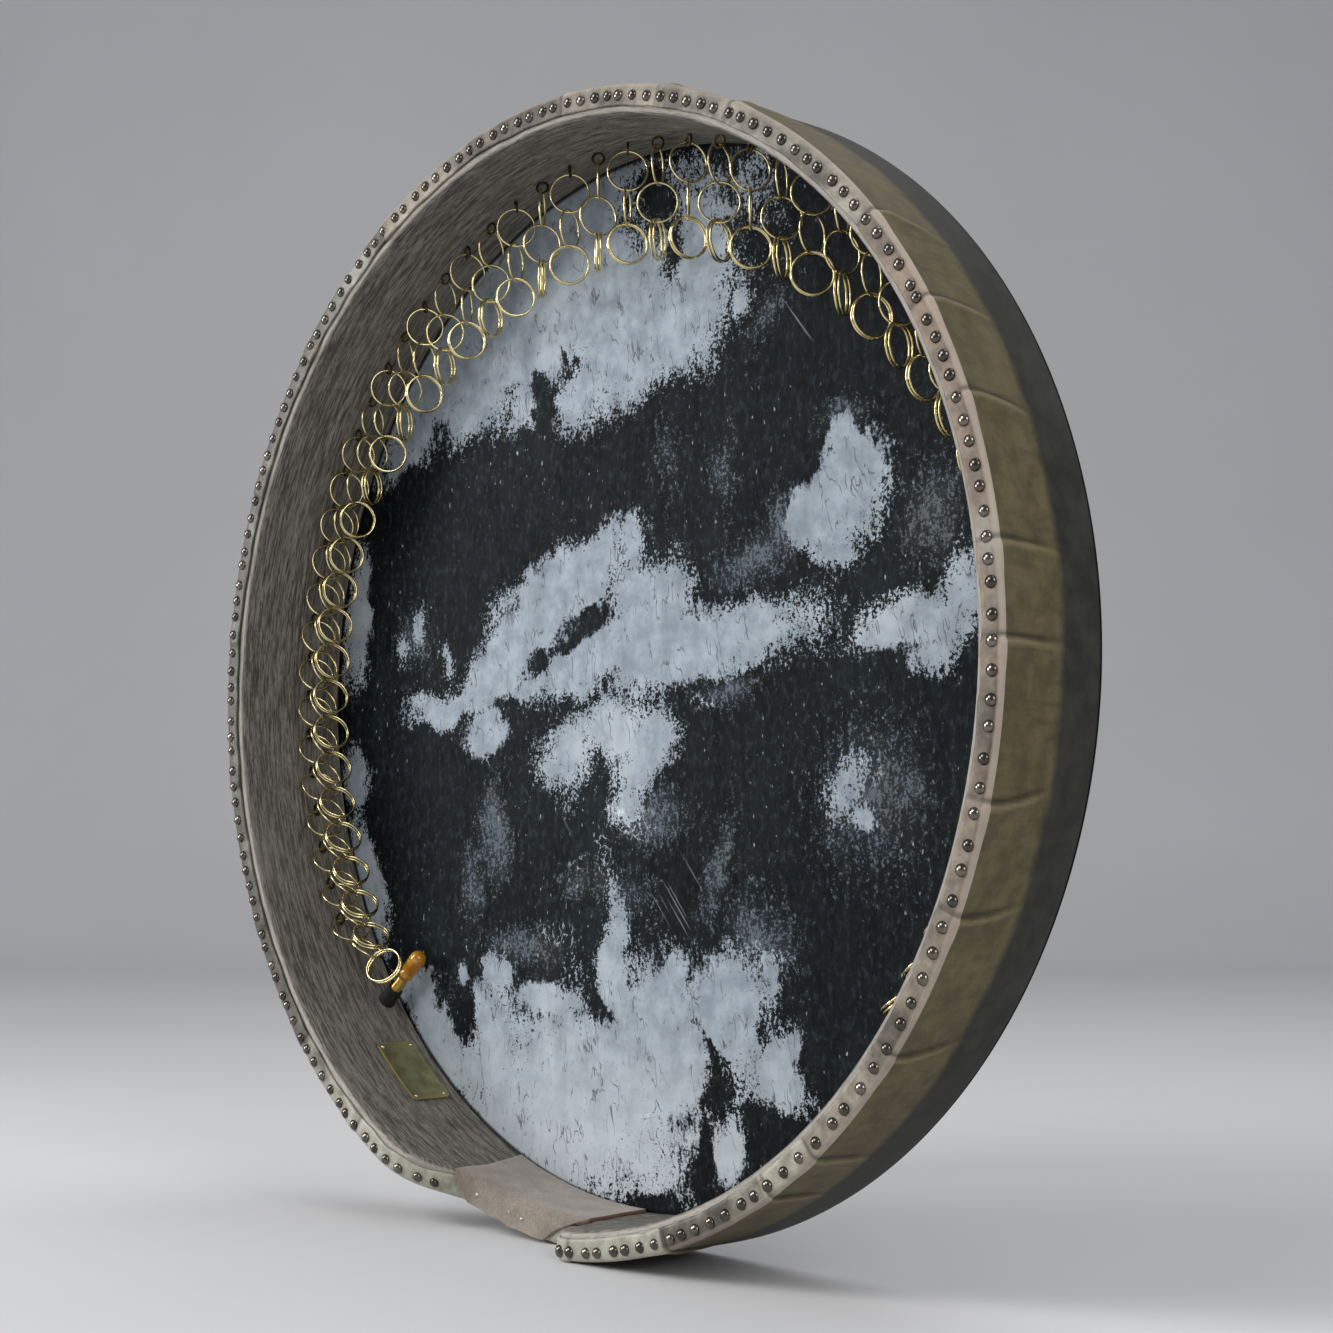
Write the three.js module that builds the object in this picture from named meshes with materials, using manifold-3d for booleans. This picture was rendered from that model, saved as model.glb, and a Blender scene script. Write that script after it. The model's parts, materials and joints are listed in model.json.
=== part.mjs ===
// Daf: a frame drum with an air-tuned hide head and chains of rings inside its wooden hoop.
// Millimetres, +Z up. The drum stands on its rim, with its open back towards -Y and its head towards +Y.
// Angles are degrees round the drum from its top, positive towards +X.
import * as THREE from "three";
import { mergeVertices } from "three/addons/utils/BufferGeometryUtils.js";
import Module from "manifold-3d";

// Drum
const DRUM_RADIUS = 265; // centre to the flats of the hide's outside
const DRUM_DEPTH = 65; // back of the hem to the face of the head
const FLATS = 48; // flats round the drum, one of them underneath
const FIT_GAP = 0.3; // between pieces that lie on each other
const ARC_STEPS = 1; // half the steps of a quarter round

// Hide
const HIDE = 1; // thickness
const HEM_WIDTH = 10.4; // of the fold over the back edge
const FACE_ROUND = 4; // outside, where the head turns into the wrap
const BACK_ROUND = 2.5; // outside, where the wrap turns into the hem

// Hoop
const HOOP_WALL = 12.2;
const HOOP_BEVEL = 2.4; // on the inner back edge

// Air tube, in a groove under the wrap
const GROOVE_SETBACK = 4; // face of the head to the groove
const GROOVE_WIDTH = 12;
const GROOVE_DEPTH = 6.5;
const TUBE_WALL = 1.2;
const TUBE_SHOULDER = 2.7; // how far its sloping sides lean in

// Thumb notch in the back edge, with a long shoulder towards the valve and a steep one away from it
const NOTCH_ANGLE = -172;
const NOTCH_DEPTH = 25;
const NOTCH_FLOOR = 78; // length of its flat floor
const NOTCH_SHOULDER = 54; // run of the long shoulder
const NOTCH_CORNER = 7; // radius in the steep corner
const NOTCH_FOOT_EASE = 16; // how far the long shoulder's curve keeps to the floor's line
const NOTCH_TOP_EASE = 32; // and to the back edge's line
const NOTCH_STEPS = 6; // of each of its curves

// Suede pad over the notch
const PAD = 1.6; // thickness
const PAD_START = -181; // angles of its ends on the inner wall
const PAD_END = -159.5;
const PAD_FOLD_INSET = 3; // floor of the notch left bare at each end of the fold
const PAD_EDGE_INSET = 1; // drum's outside to the end of the fold
const PAD_HEAD_GAP = 1.5; // head to the pad

// Brass plate on the inner wall
const PLATE_ANGLE = -141.7;
const PLATE_LENGTH = 42;
const PLATE_WIDTH = 23;
const PLATE = 0.8; // thickness
const PLATE_SETBACK = 8; // face of the head to the plate

// Inflation valve, pointing at the drum's middle
const VALVE_ANGLE = -130.4;
const STEM_DIAMETER = 6;
const STEM_TIP_DIAMETER = 4.8; // inside the cap
const STEM_TIP_LENGTH = 12;
const STEM_SHOWN = 11; // between collar and cap
const STEM_INTO_TUBE = 1.5; // past the inside of the tube's wall
const COLLAR_DIAMETER = 8.4;
const COLLAR_LENGTH = 10.4;
const COLLAR_SEAT = 0.5; // inner wall to the collar
const CAP_DIAMETER = 8.8;
const CAP_NECK_DIAMETER = 7.4;
const CAP_NECK_LENGTH = 4;
const CAP_LENGTH = 18;
const DOME_STEPS = 3; // of the cap's round end
const VALVE_SIDES = 14;

// Screw eyes and the ring chains that hang on them
const CHAIN_COUNT = 50;
const CHAIN_END_ANGLE = 119; // of the last eye on each side
const CHAIN_SETBACK = 22; // face of the head to the eyes
const CHAIN_LEAN = 30; // least angle between a chain and the wall below its eye
const CHAIN_CLEARANCE = 3; // from a chain's outline to halfway to the next chain
const RING_DIAMETER = 20;
const RING_WIRE = 1.2;
const RING_SIDES = 6;
const PAIR_SPREAD = 1; // each ring of the last pair from their middle
const LINK_BITE = 0.2; // how far a ring's wire is let into the next
const LINK_TWIST = 25; // least turn from ring to ring
const LINK_TWIST_MOST = 80;
const LINK_TWIST_SHARE = 1.4; // turn from ring to ring as a share of the room to turn
const HANG_PLAY = 0.5; // between a chain's first ring and its eye
const TURN_STEP = 2.4; // radians, scatters the chains' turns round the drum
const EYE_BORE = 4.4;
const EYE_WIRE = 1.2;
const EYE_SIDES = 5;
const EYE_STANDOFF = 3.4; // inner wall to the middle of an eye

// Sizes that follow
const BACK = -DRUM_DEPTH / 2;
const FACE = DRUM_DEPTH / 2;
const HOOP_OUTER = DRUM_RADIUS - HIDE - FIT_GAP;
const HOOP_INNER = HOOP_OUTER - HOOP_WALL;
const HOOP_BACK = BACK + HIDE + FIT_GAP;
const HOOP_FACE = FACE - HIDE - FIT_GAP;
const HEM_INNER = DRUM_RADIUS - HEM_WIDTH;
const GROOVE_FRONT = FACE - GROOVE_SETBACK;
const GROOVE_BACK = GROOVE_FRONT - GROOVE_WIDTH;
const GROOVE_FLOOR = HOOP_OUTER - GROOVE_DEPTH;
const TUBE_MIDDLE = (GROOVE_FRONT + GROOVE_BACK) / 2;
const CUT_MARGIN = 5; // how far a cutting solid reaches past what it cuts
const SAME_POINT = 1e-4; // corners closer than this are one
const EYE_Y = FACE - CHAIN_SETBACK;

const wasm = await Module();
wasm.setup();

const rad = THREE.MathUtils.degToRad;

// A closed geometry as a solid to join and cut.
function solid(geometry) {
  const bare = new THREE.BufferGeometry();
  bare.setAttribute("position", geometry.getAttribute("position"));
  bare.setIndex(geometry.index);
  const merged = mergeVertices(bare, SAME_POINT);
  return new wasm.Manifold(
    new wasm.Mesh({
      numProp: 3,
      vertProperties: merged.getAttribute("position").array,
      triVerts: new Uint32Array(merged.index.array),
    }),
  );
}

// A joined or cut solid as a geometry to show.
function shown(body) {
  const mesh = body.getMesh();
  const geometry = new THREE.BufferGeometry();
  geometry.setAttribute("position", new THREE.BufferAttribute(mesh.vertProperties, 3));
  geometry.setIndex(new THREE.BufferAttribute(mesh.triVerts, 1));
  return geometry;
}

// A profile of radius against Y, turned round the drum's axis. Its radii are those of the flats,
// and a flat lies at the top and at the bottom.
function turned(points) {
  const half = rad(180 / FLATS);
  const corners = points.map((point) => new THREE.Vector2(point.x / Math.cos(half), point.y));
  return new THREE.LatheGeometry(corners, FLATS, half);
}

// A ring of rectangular section round the drum's axis.
function band(inner, outer, from, to) {
  const corners = [
    new THREE.Vector2(inner, from),
    new THREE.Vector2(outer, from),
    new THREE.Vector2(outer, to),
    new THREE.Vector2(inner, to),
    new THREE.Vector2(inner, from),
  ];
  return solid(turned(corners));
}

// The slice of the drum between two angles, for cutting a piece out of a band.
function slice(from, to) {
  const reach = DRUM_RADIUS + CUT_MARGIN;
  const corner = (angle, radius) =>
    new THREE.Vector2(radius * Math.sin(rad(angle)), -radius * Math.cos(rad(angle)));
  const far = reach / Math.cos(rad(to - from) / 2);
  const wedge = new THREE.Shape([
    new THREE.Vector2(0, 0),
    corner(from, reach),
    corner((from + to) / 2, far),
    corner(to, reach),
  ]);
  const geometry = new THREE.ExtrudeGeometry(wedge, { depth: DRUM_DEPTH, bevelEnabled: false });
  geometry.translate(0, 0, BACK);
  geometry.rotateX(-Math.PI / 2);
  return solid(geometry);
}

// The inner wall's distance from the axis: it is made of flats, so it is least in the middle of one.
function wallRadius(angle) {
  const flat = 360 / FLATS;
  const fromMiddle = angle - flat * Math.round(angle / flat);
  return HOOP_INNER / Math.cos(rad(fromMiddle));
}

// A group turned to an angle round the drum: its +Z points out from the axis there.
function spot(angle) {
  const group = new THREE.Group();
  group.rotation.y = rad(angle);
  return group;
}

// Thumb notch: its outline along the back edge, deeper and longer by grow on every side.
function notchCutter(grow) {
  const floor = BACK + NOTCH_DEPTH + grow;
  const edge = BACK + grow;
  const below = BACK - CUT_MARGIN;
  const steep = -NOTCH_FLOOR / 2 - NOTCH_CORNER - grow;
  const foot = NOTCH_FLOOR / 2 + grow;
  const top = foot + NOTCH_SHOULDER;
  const outline = new THREE.Shape();
  outline.moveTo(steep, below);
  outline.lineTo(top + CUT_MARGIN, below);
  outline.lineTo(top + CUT_MARGIN, edge - CUT_MARGIN / 2);
  outline.lineTo(top, edge);
  outline.bezierCurveTo(top - NOTCH_TOP_EASE, edge, foot + NOTCH_FOOT_EASE, floor, foot, floor);
  outline.lineTo(steep + NOTCH_CORNER, floor);
  outline.absarc(
    steep + NOTCH_CORNER, floor - NOTCH_CORNER, NOTCH_CORNER, Math.PI / 2, Math.PI, false);
  const near = Math.sqrt(HOOP_INNER ** 2 - top ** 2) - CUT_MARGIN;
  const geometry = new THREE.ExtrudeGeometry(outline, {
    depth: DRUM_RADIUS + CUT_MARGIN - near,
    bevelEnabled: false,
    curveSegments: NOTCH_STEPS,
  });
  geometry.translate(0, 0, near);
  geometry.rotateY(rad(NOTCH_ANGLE));
  return solid(geometry);
}

// Hide
function makeHide() {
  const inside = DRUM_RADIUS - HIDE;
  const profile = new THREE.Path();
  profile.moveTo(0, FACE - HIDE);
  profile.lineTo(DRUM_RADIUS - FACE_ROUND, FACE - HIDE);
  profile.absarc(
    DRUM_RADIUS - FACE_ROUND, FACE - FACE_ROUND, FACE_ROUND - HIDE, Math.PI / 2, 0, true);
  profile.lineTo(inside, BACK + BACK_ROUND);
  profile.absarc(
    DRUM_RADIUS - BACK_ROUND, BACK + BACK_ROUND, BACK_ROUND - HIDE, 0, -Math.PI / 2, true);
  profile.lineTo(HEM_INNER, BACK + HIDE);
  profile.lineTo(HEM_INNER, BACK);
  profile.lineTo(DRUM_RADIUS - BACK_ROUND, BACK);
  profile.absarc(
    DRUM_RADIUS - BACK_ROUND, BACK + BACK_ROUND, BACK_ROUND, -Math.PI / 2, 0, false);
  profile.lineTo(DRUM_RADIUS, FACE - FACE_ROUND);
  profile.absarc(
    DRUM_RADIUS - FACE_ROUND, FACE - FACE_ROUND, FACE_ROUND, 0, Math.PI / 2, false);
  profile.lineTo(0, FACE);
  const whole = solid(turned(profile.getPoints(ARC_STEPS)));
  const notch = notchCutter(0);
  const hemBand = band(HEM_INNER, DRUM_RADIUS, BACK, BACK + NOTCH_DEPTH + 2 * HIDE);
  const notchHem = notchCutter(HIDE).subtract(notch).intersect(hemBand);
  return whole.subtract(notch).add(notchHem);
}

// Hoop
function makeHoop() {
  const faceRound = FACE_ROUND - HIDE - FIT_GAP;
  const backRound = BACK_ROUND - HIDE - FIT_GAP;
  const profile = new THREE.Path();
  profile.moveTo(HOOP_INNER + HOOP_BEVEL, HOOP_BACK);
  profile.lineTo(HOOP_OUTER - backRound, HOOP_BACK);
  profile.lineTo(HOOP_OUTER, HOOP_BACK + backRound);
  profile.lineTo(HOOP_OUTER, GROOVE_BACK);
  profile.lineTo(GROOVE_FLOOR, GROOVE_BACK);
  profile.lineTo(GROOVE_FLOOR, GROOVE_FRONT);
  profile.lineTo(HOOP_OUTER, GROOVE_FRONT);
  profile.lineTo(HOOP_OUTER, HOOP_FACE - faceRound);
  profile.absarc(
    HOOP_OUTER - faceRound, HOOP_FACE - faceRound, faceRound, 0, Math.PI / 2, false);
  profile.lineTo(HOOP_INNER, HOOP_FACE);
  profile.lineTo(HOOP_INNER, HOOP_BACK + HOOP_BEVEL);
  profile.lineTo(HOOP_INNER + HOOP_BEVEL, HOOP_BACK);
  let hoop = solid(turned(profile.getPoints(ARC_STEPS)));
  hoop = hoop.subtract(notchCutter(HIDE + FIT_GAP));
  hoop = hoop.subtract(valveBore());
  for (const chain of chains) hoop = hoop.add(screwEye(chain));
  return hoop;
}

// Air tube
function makeAirTube() {
  const inner = GROOVE_FLOOR + FIT_GAP;
  const outer = HOOP_OUTER;
  const middle = (inner + outer) / 2;
  const half = GROOVE_WIDTH / 2 - FIT_GAP;
  const flat = half - TUBE_SHOULDER;
  const section = [
    new THREE.Vector2(inner, TUBE_MIDDLE - flat),
    new THREE.Vector2(middle, TUBE_MIDDLE - half),
    new THREE.Vector2(outer, TUBE_MIDDLE - flat),
    new THREE.Vector2(outer, TUBE_MIDDLE + flat),
    new THREE.Vector2(middle, TUBE_MIDDLE + half),
    new THREE.Vector2(inner, TUBE_MIDDLE + flat),
    new THREE.Vector2(inner, TUBE_MIDDLE - flat),
  ];
  const air = band(
    inner + TUBE_WALL, outer - TUBE_WALL, TUBE_MIDDLE - flat, TUBE_MIDDLE + flat);
  return solid(turned(section)).subtract(air).subtract(valveBore());
}

// Valve pieces are turned about an axis that runs inwards, and are measured from the drum's middle.
function valveTurning(profile) {
  const points = profile.map(([radius, fromMiddle]) => new THREE.Vector2(radius, -fromMiddle));
  const geometry = new THREE.LatheGeometry(points, VALVE_SIDES);
  geometry.rotateX(-Math.PI / 2);
  return geometry;
}

const STEM_RADIUS = STEM_DIAMETER / 2;
const STEM_TIP_RADIUS = STEM_TIP_DIAMETER / 2;
const STEM_FOOT = GROOVE_FLOOR + FIT_GAP + TUBE_WALL + STEM_INTO_TUBE;
const COLLAR_FOOT = wallRadius(VALVE_ANGLE) - COLLAR_SEAT;
const COLLAR_TOP = COLLAR_FOOT - COLLAR_LENGTH;
const CAP_FOOT = COLLAR_TOP - STEM_SHOWN;
const CAP_TOP = CAP_FOOT - CAP_LENGTH;
const STEM_TOP = CAP_FOOT - STEM_TIP_LENGTH;

// The bore through the hoop's wall into the air tube.
function valveBore() {
  const radius = STEM_RADIUS + FIT_GAP;
  const bore = valveTurning([
    [0, STEM_FOOT],
    [radius, STEM_FOOT],
    [radius, HOOP_INNER - CUT_MARGIN],
    [0, HOOP_INNER - CUT_MARGIN],
  ]);
  bore.translate(0, TUBE_MIDDLE, 0);
  bore.rotateY(rad(VALVE_ANGLE));
  return solid(bore);
}

function makeValveStem() {
  return valveTurning([
    [0, STEM_FOOT - FIT_GAP],
    [STEM_RADIUS, STEM_FOOT - FIT_GAP],
    [STEM_RADIUS, CAP_FOOT + FIT_GAP],
    [STEM_TIP_RADIUS, CAP_FOOT + FIT_GAP],
    [STEM_TIP_RADIUS, STEM_TOP],
    [0, STEM_TOP],
  ]);
}

function makeValveCollar() {
  const bore = STEM_RADIUS + FIT_GAP;
  return valveTurning([
    [bore, COLLAR_FOOT],
    [COLLAR_DIAMETER / 2, COLLAR_FOOT],
    [COLLAR_DIAMETER / 2, COLLAR_TOP],
    [bore, COLLAR_TOP],
    [bore, COLLAR_FOOT],
  ]);
}

function makeValveCap() {
  const bore = STEM_TIP_RADIUS + FIT_GAP;
  const radius = CAP_DIAMETER / 2;
  const neck = CAP_NECK_DIAMETER / 2;
  const neckTop = CAP_FOOT - CAP_NECK_LENGTH;
  const domeFoot = CAP_TOP + radius;
  const dome = [];
  for (let step = 1; step < DOME_STEPS; step += 1) {
    const turn = ((Math.PI / 2) * step) / DOME_STEPS;
    dome.push([radius * Math.cos(turn), domeFoot - radius * Math.sin(turn)]);
  }
  return valveTurning([
    [0, STEM_TOP - FIT_GAP],
    [bore, STEM_TOP - FIT_GAP],
    [bore, CAP_FOOT],
    [neck, CAP_FOOT],
    [neck, neckTop],
    [radius, neckTop - (radius - neck)],
    [radius, domeFoot],
    ...dome,
    [0, CAP_TOP],
  ]);
}

// Brass plate, bent to the inner wall
function makePlate() {
  const half = THREE.MathUtils.radToDeg(PLATE_LENGTH / HOOP_INNER / 2);
  const front = FACE - PLATE_SETBACK;
  const sheet = band(
    HOOP_INNER - FIT_GAP - PLATE, HOOP_INNER - FIT_GAP, front - PLATE_WIDTH, front);
  return sheet.intersect(slice(PLATE_ANGLE - half, PLATE_ANGLE + half));
}

// Suede pad: a leaf on the inner wall and a fold over the floor of the notch
function makeThumbPad() {
  const inner = HOOP_INNER - FIT_GAP - PAD;
  const foldFront = BACK + NOTCH_DEPTH - FIT_GAP;
  const foldBack = foldFront - PAD;
  const leaf = band(inner, inner + PAD, foldBack, FACE - HIDE - PAD_HEAD_GAP);
  const fold = band(inner, DRUM_RADIUS - PAD_EDGE_INSET, foldBack, foldFront);
  const halfFold = THREE.MathUtils.radToDeg((NOTCH_FLOOR / 2 - PAD_FOLD_INSET) / DRUM_RADIUS);
  const folded = fold.intersect(slice(NOTCH_ANGLE - halfFold, NOTCH_ANGLE + halfFold));
  return leaf.intersect(slice(PAD_START, PAD_END)).add(folded);
}

// A ring of wire: a polygon of about its diameter, with a three-sided wire whose edge is on the inside.
// One of its sides is square to -Z, the way that a chain pulls.
function wireRing(diameter, wire, sides) {
  const fair = 1 / Math.sqrt(Math.cos(Math.PI / sides));
  const outer = (diameter / 2) * fair;
  const inner = (diameter / 2 - wire) * fair;
  const half = wire / Math.sqrt(3);
  const section = [
    new THREE.Vector2(inner, 0),
    new THREE.Vector2(outer, -half),
    new THREE.Vector2(outer, half),
    new THREE.Vector2(inner, 0),
  ];
  return new THREE.LatheGeometry(section, sides, Math.PI + Math.PI / sides);
}

// The least distance from such a ring's middle to its inner edge.
function ringReach(diameter, wire, sides) {
  return (diameter / 2 - wire) * Math.sqrt(Math.cos(Math.PI / sides));
}

const RING_REACH = ringReach(RING_DIAMETER, RING_WIRE, RING_SIDES);
const EYE_REACH = ringReach(EYE_BORE + 2 * EYE_WIRE, EYE_WIRE, EYE_SIDES);

// Where each chain hangs, which way it falls and how its rings are turned.
// It hangs straight down where it can. Lower on the drum it lies over the chains below it, turned as they are.
function layChain(index) {
  const pitch = (2 * CHAIN_END_ANGLE) / (CHAIN_COUNT - 1);
  const angle = index * pitch - CHAIN_END_ANGLE;
  const side = Math.sign(angle);
  const fall = Math.min(Math.abs(angle), 90 - CHAIN_LEAN);
  const eyeRadius = wallRadius(angle) - EYE_STANDOFF;
  const tilt = -side * fall;
  const apart = rad(pitch) * eyeRadius * Math.cos(rad(fall));
  const room = (apart / 2 - CHAIN_CLEARANCE) / (RING_DIAMETER / 2);
  const limit = THREE.MathUtils.radToDeg(Math.asin(Math.min(room, 1)));
  const link = THREE.MathUtils.clamp(LINK_TWIST_SHARE * limit, LINK_TWIST, LINK_TWIST_MOST);
  const mean = Math.max(limit - link / 2, 0) * Math.sin(TURN_STEP * index);
  const alike = fall === 90 - CHAIN_LEAN;
  const way = alike ? side : (-1) ** index;
  const half = (way * link) / 2;
  return { angle, tilt, eyeRadius, twists: [mean + half, mean - half, mean + half] };
}

const chains = Array.from({ length: CHAIN_COUNT }, (_, index) => layChain(index));

// The point that a chain swings about, in the group at its angle: the inside of its eye.
function pivotOf(chain) {
  const tilt = rad(chain.tilt);
  return new THREE.Vector3(
    -EYE_REACH * Math.sin(tilt), EYE_Y, chain.eyeRadius - EYE_REACH * Math.cos(tilt));
}

// A screw eye, crosswise to the first ring of its chain, with a corner let into the wall.
function screwEye(chain) {
  const eye = wireRing(EYE_BORE + 2 * EYE_WIRE, EYE_WIRE, EYE_SIDES);
  eye.rotateZ(rad(chain.twists[0]));
  eye.translate(0, EYE_Y, chain.eyeRadius);
  eye.rotateY(rad(chain.angle));
  return solid(eye);
}

// A chain hanging from its pivot: two single rings and a pair.
function makeChain(chain) {
  const pitch = 2 * RING_REACH + LINK_BITE;
  const first = HANG_PLAY - RING_REACH;
  const [top, middle, bottom] = chain.twists.map(rad);
  const ring = (twist, height, aside) => {
    const geometry = wireRing(RING_DIAMETER, RING_WIRE, RING_SIDES);
    geometry.translate(0, aside, 0);
    geometry.rotateZ(twist - Math.PI / 2);
    geometry.translate(0, 0, height);
    return solid(geometry);
  };
  return ring(top, first, 0)
    .add(ring(middle, first - pitch, 0))
    .add(ring(bottom, first - 2 * pitch, -PAIR_SPREAD))
    .add(ring(bottom, first - 2 * pitch, PAIR_SPREAD));
}

// Materials
const finish = (color, roughness, metalness) =>
  new THREE.MeshStandardMaterial({ color, roughness, metalness });
const wood = finish(0x6b6259, 0.7, 0);
const goatHide = finish(0x4a4c50, 0.75, 0);
const rubber = finish(0x161616, 0.8, 0);
const brass = finish(0xc2a65a, 0.3, 1);
const blackSleeve = finish(0x101010, 0.6, 0);
const amber = finish(0xc87a12, 0.2, 0);
const agedBrass = finish(0x8a8050, 0.45, 1);
const suede = finish(0x94816f, 0.95, 0);

// Assembly
const daf = new THREE.Group();
const drum = new THREE.Group();
drum.position.z = DRUM_RADIUS;
daf.add(drum);

function addPiece(parent, name, geometry, material) {
  const mesh = new THREE.Mesh(geometry, material);
  mesh.name = name;
  parent.add(mesh);
  return mesh;
}

addPiece(drum, "hoop", shown(makeHoop()), wood);
addPiece(drum, "hide", shown(makeHide()), goatHide);
addPiece(drum, "air_tube", shown(makeAirTube()), rubber);
addPiece(drum, "plate", shown(makePlate()), agedBrass);
addPiece(drum, "thumb_pad", shown(makeThumbPad()), suede);

const valve = spot(VALVE_ANGLE);
drum.add(valve);
addPiece(valve, "valve_stem", makeValveStem(), brass).position.y = TUBE_MIDDLE;
addPiece(valve, "valve_collar", makeValveCollar(), blackSleeve).position.y = TUBE_MIDDLE;
addPiece(valve, "valve_cap", makeValveCap(), amber).position.y = TUBE_MIDDLE;

chains.forEach((chain, index) => {
  const place = spot(chain.angle);
  drum.add(place);
  const name = `ring_chain_${String(index + 1).padStart(2, "0")}`;
  const hung = addPiece(place, name, shown(makeChain(chain)), brass);
  hung.position.copy(pivotOf(chain));
  hung.rotation.y = rad(chain.tilt);
});

export default daf;
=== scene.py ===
"""A daf from its open back: pied goat hide on a wooden hoop, tacked hem, brass ring chains and air valve."""
import json
import math
import random

import bpy
import numpy
from mathutils import Euler, Matrix, Vector, noise


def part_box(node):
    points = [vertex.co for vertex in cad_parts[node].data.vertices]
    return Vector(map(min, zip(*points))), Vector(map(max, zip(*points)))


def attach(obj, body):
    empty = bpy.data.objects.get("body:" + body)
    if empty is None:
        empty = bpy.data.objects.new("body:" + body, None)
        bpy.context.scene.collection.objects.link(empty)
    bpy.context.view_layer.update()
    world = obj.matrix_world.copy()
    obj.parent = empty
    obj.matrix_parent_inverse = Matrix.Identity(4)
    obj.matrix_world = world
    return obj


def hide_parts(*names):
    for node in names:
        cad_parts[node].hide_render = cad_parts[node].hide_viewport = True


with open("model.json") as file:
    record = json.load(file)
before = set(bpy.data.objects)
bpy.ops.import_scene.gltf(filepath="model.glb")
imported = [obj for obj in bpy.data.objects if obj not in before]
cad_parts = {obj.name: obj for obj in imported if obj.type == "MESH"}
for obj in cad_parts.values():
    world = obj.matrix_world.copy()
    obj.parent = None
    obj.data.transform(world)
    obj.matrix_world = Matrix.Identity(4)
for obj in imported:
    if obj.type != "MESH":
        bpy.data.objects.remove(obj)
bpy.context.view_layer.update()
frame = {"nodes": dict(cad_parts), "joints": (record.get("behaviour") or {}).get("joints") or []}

MM = 0.001
SEED = 11

# Drum, from the frame
HIDE_LOW, HIDE_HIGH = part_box("hide")
HOOP_LOW, HOOP_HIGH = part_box("hoop")
RADIUS = (HIDE_HIGH.x - HIDE_LOW.x) / 2
MIDDLE = (HIDE_HIGH.z + HIDE_LOW.z) / 2
BACK, FACE = HIDE_LOW.y, HIDE_HIGH.y
HOOP_OUTER = (HOOP_HIGH.x - HOOP_LOW.x) / 2
HOOP_FACE = HOOP_HIGH.y
ROUND = 2 * math.pi * RADIUS

# Hide
HIDE = 1 * MM
HEM_WIDTH = 10.4 * MM
FACE_ROUND = 4 * MM
BACK_ROUND = 2.5 * MM
EDGE_STEP = 1.25 * MM  # between columns of the rim's meshes
WRAP_ROWS = 22
HEM_ROWS = 6
HEAD_RINGS = 72
HEAD_STEPS = 448
PLEAT_HEIGHT = 1.3 * MM
PLEAT_WIDTH = 1.5 * MM
PLEAT_END = 42 * MM  # how far a pleat runs from the back
LAP_HEIGHT = 0.6 * MM  # step where the hem laps over itself
# Where the hide is gathered: degrees round the drum, and how far the fold drifts on its way to the front.
# Then how warm and how dark the hem is from there to the next; the darkness is partly stains and partly
# painted shade, most along the left side.
PLEATS = (
    (-147, 1, 0.05, 0.35), (-134, -1, 0.1, 0.8), (-119, 2, 0.1, 0.7), (-101, -1, 0.2, 0.9),
    (-84, 2, 0.25, 0.85), (-66, 1, 0.3, 0.8), (-48, -2, 0.4, 0.65), (-29, 1, 0.6, 0.45),
    (-12, 2, 0.5, 0.5), (3, -2, 0.5, 0.3), (17.6, 3, 0.3, 0.55), (28, 5, 0.4, 0.5), (50, 3, 1, 0.4),
    (60.5, 1.2, 1, 0.35), (70, 1.5, 1, 0.4), (83, 0.4, 0.9, 0.45), (91, 0.3, 0.95, 0.4),
    (104.6, -2, 0.8, 0.4), (114.4, -1.5, 0.7, 0.45), (128, -2, 0.45, 0.35), (141, 1, 0.2, 0.1),
    (147.5, 1, 0.35, 0.6), (162, 1, 0.1, 0.05), (176, -1, 0, 0),
)

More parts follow.
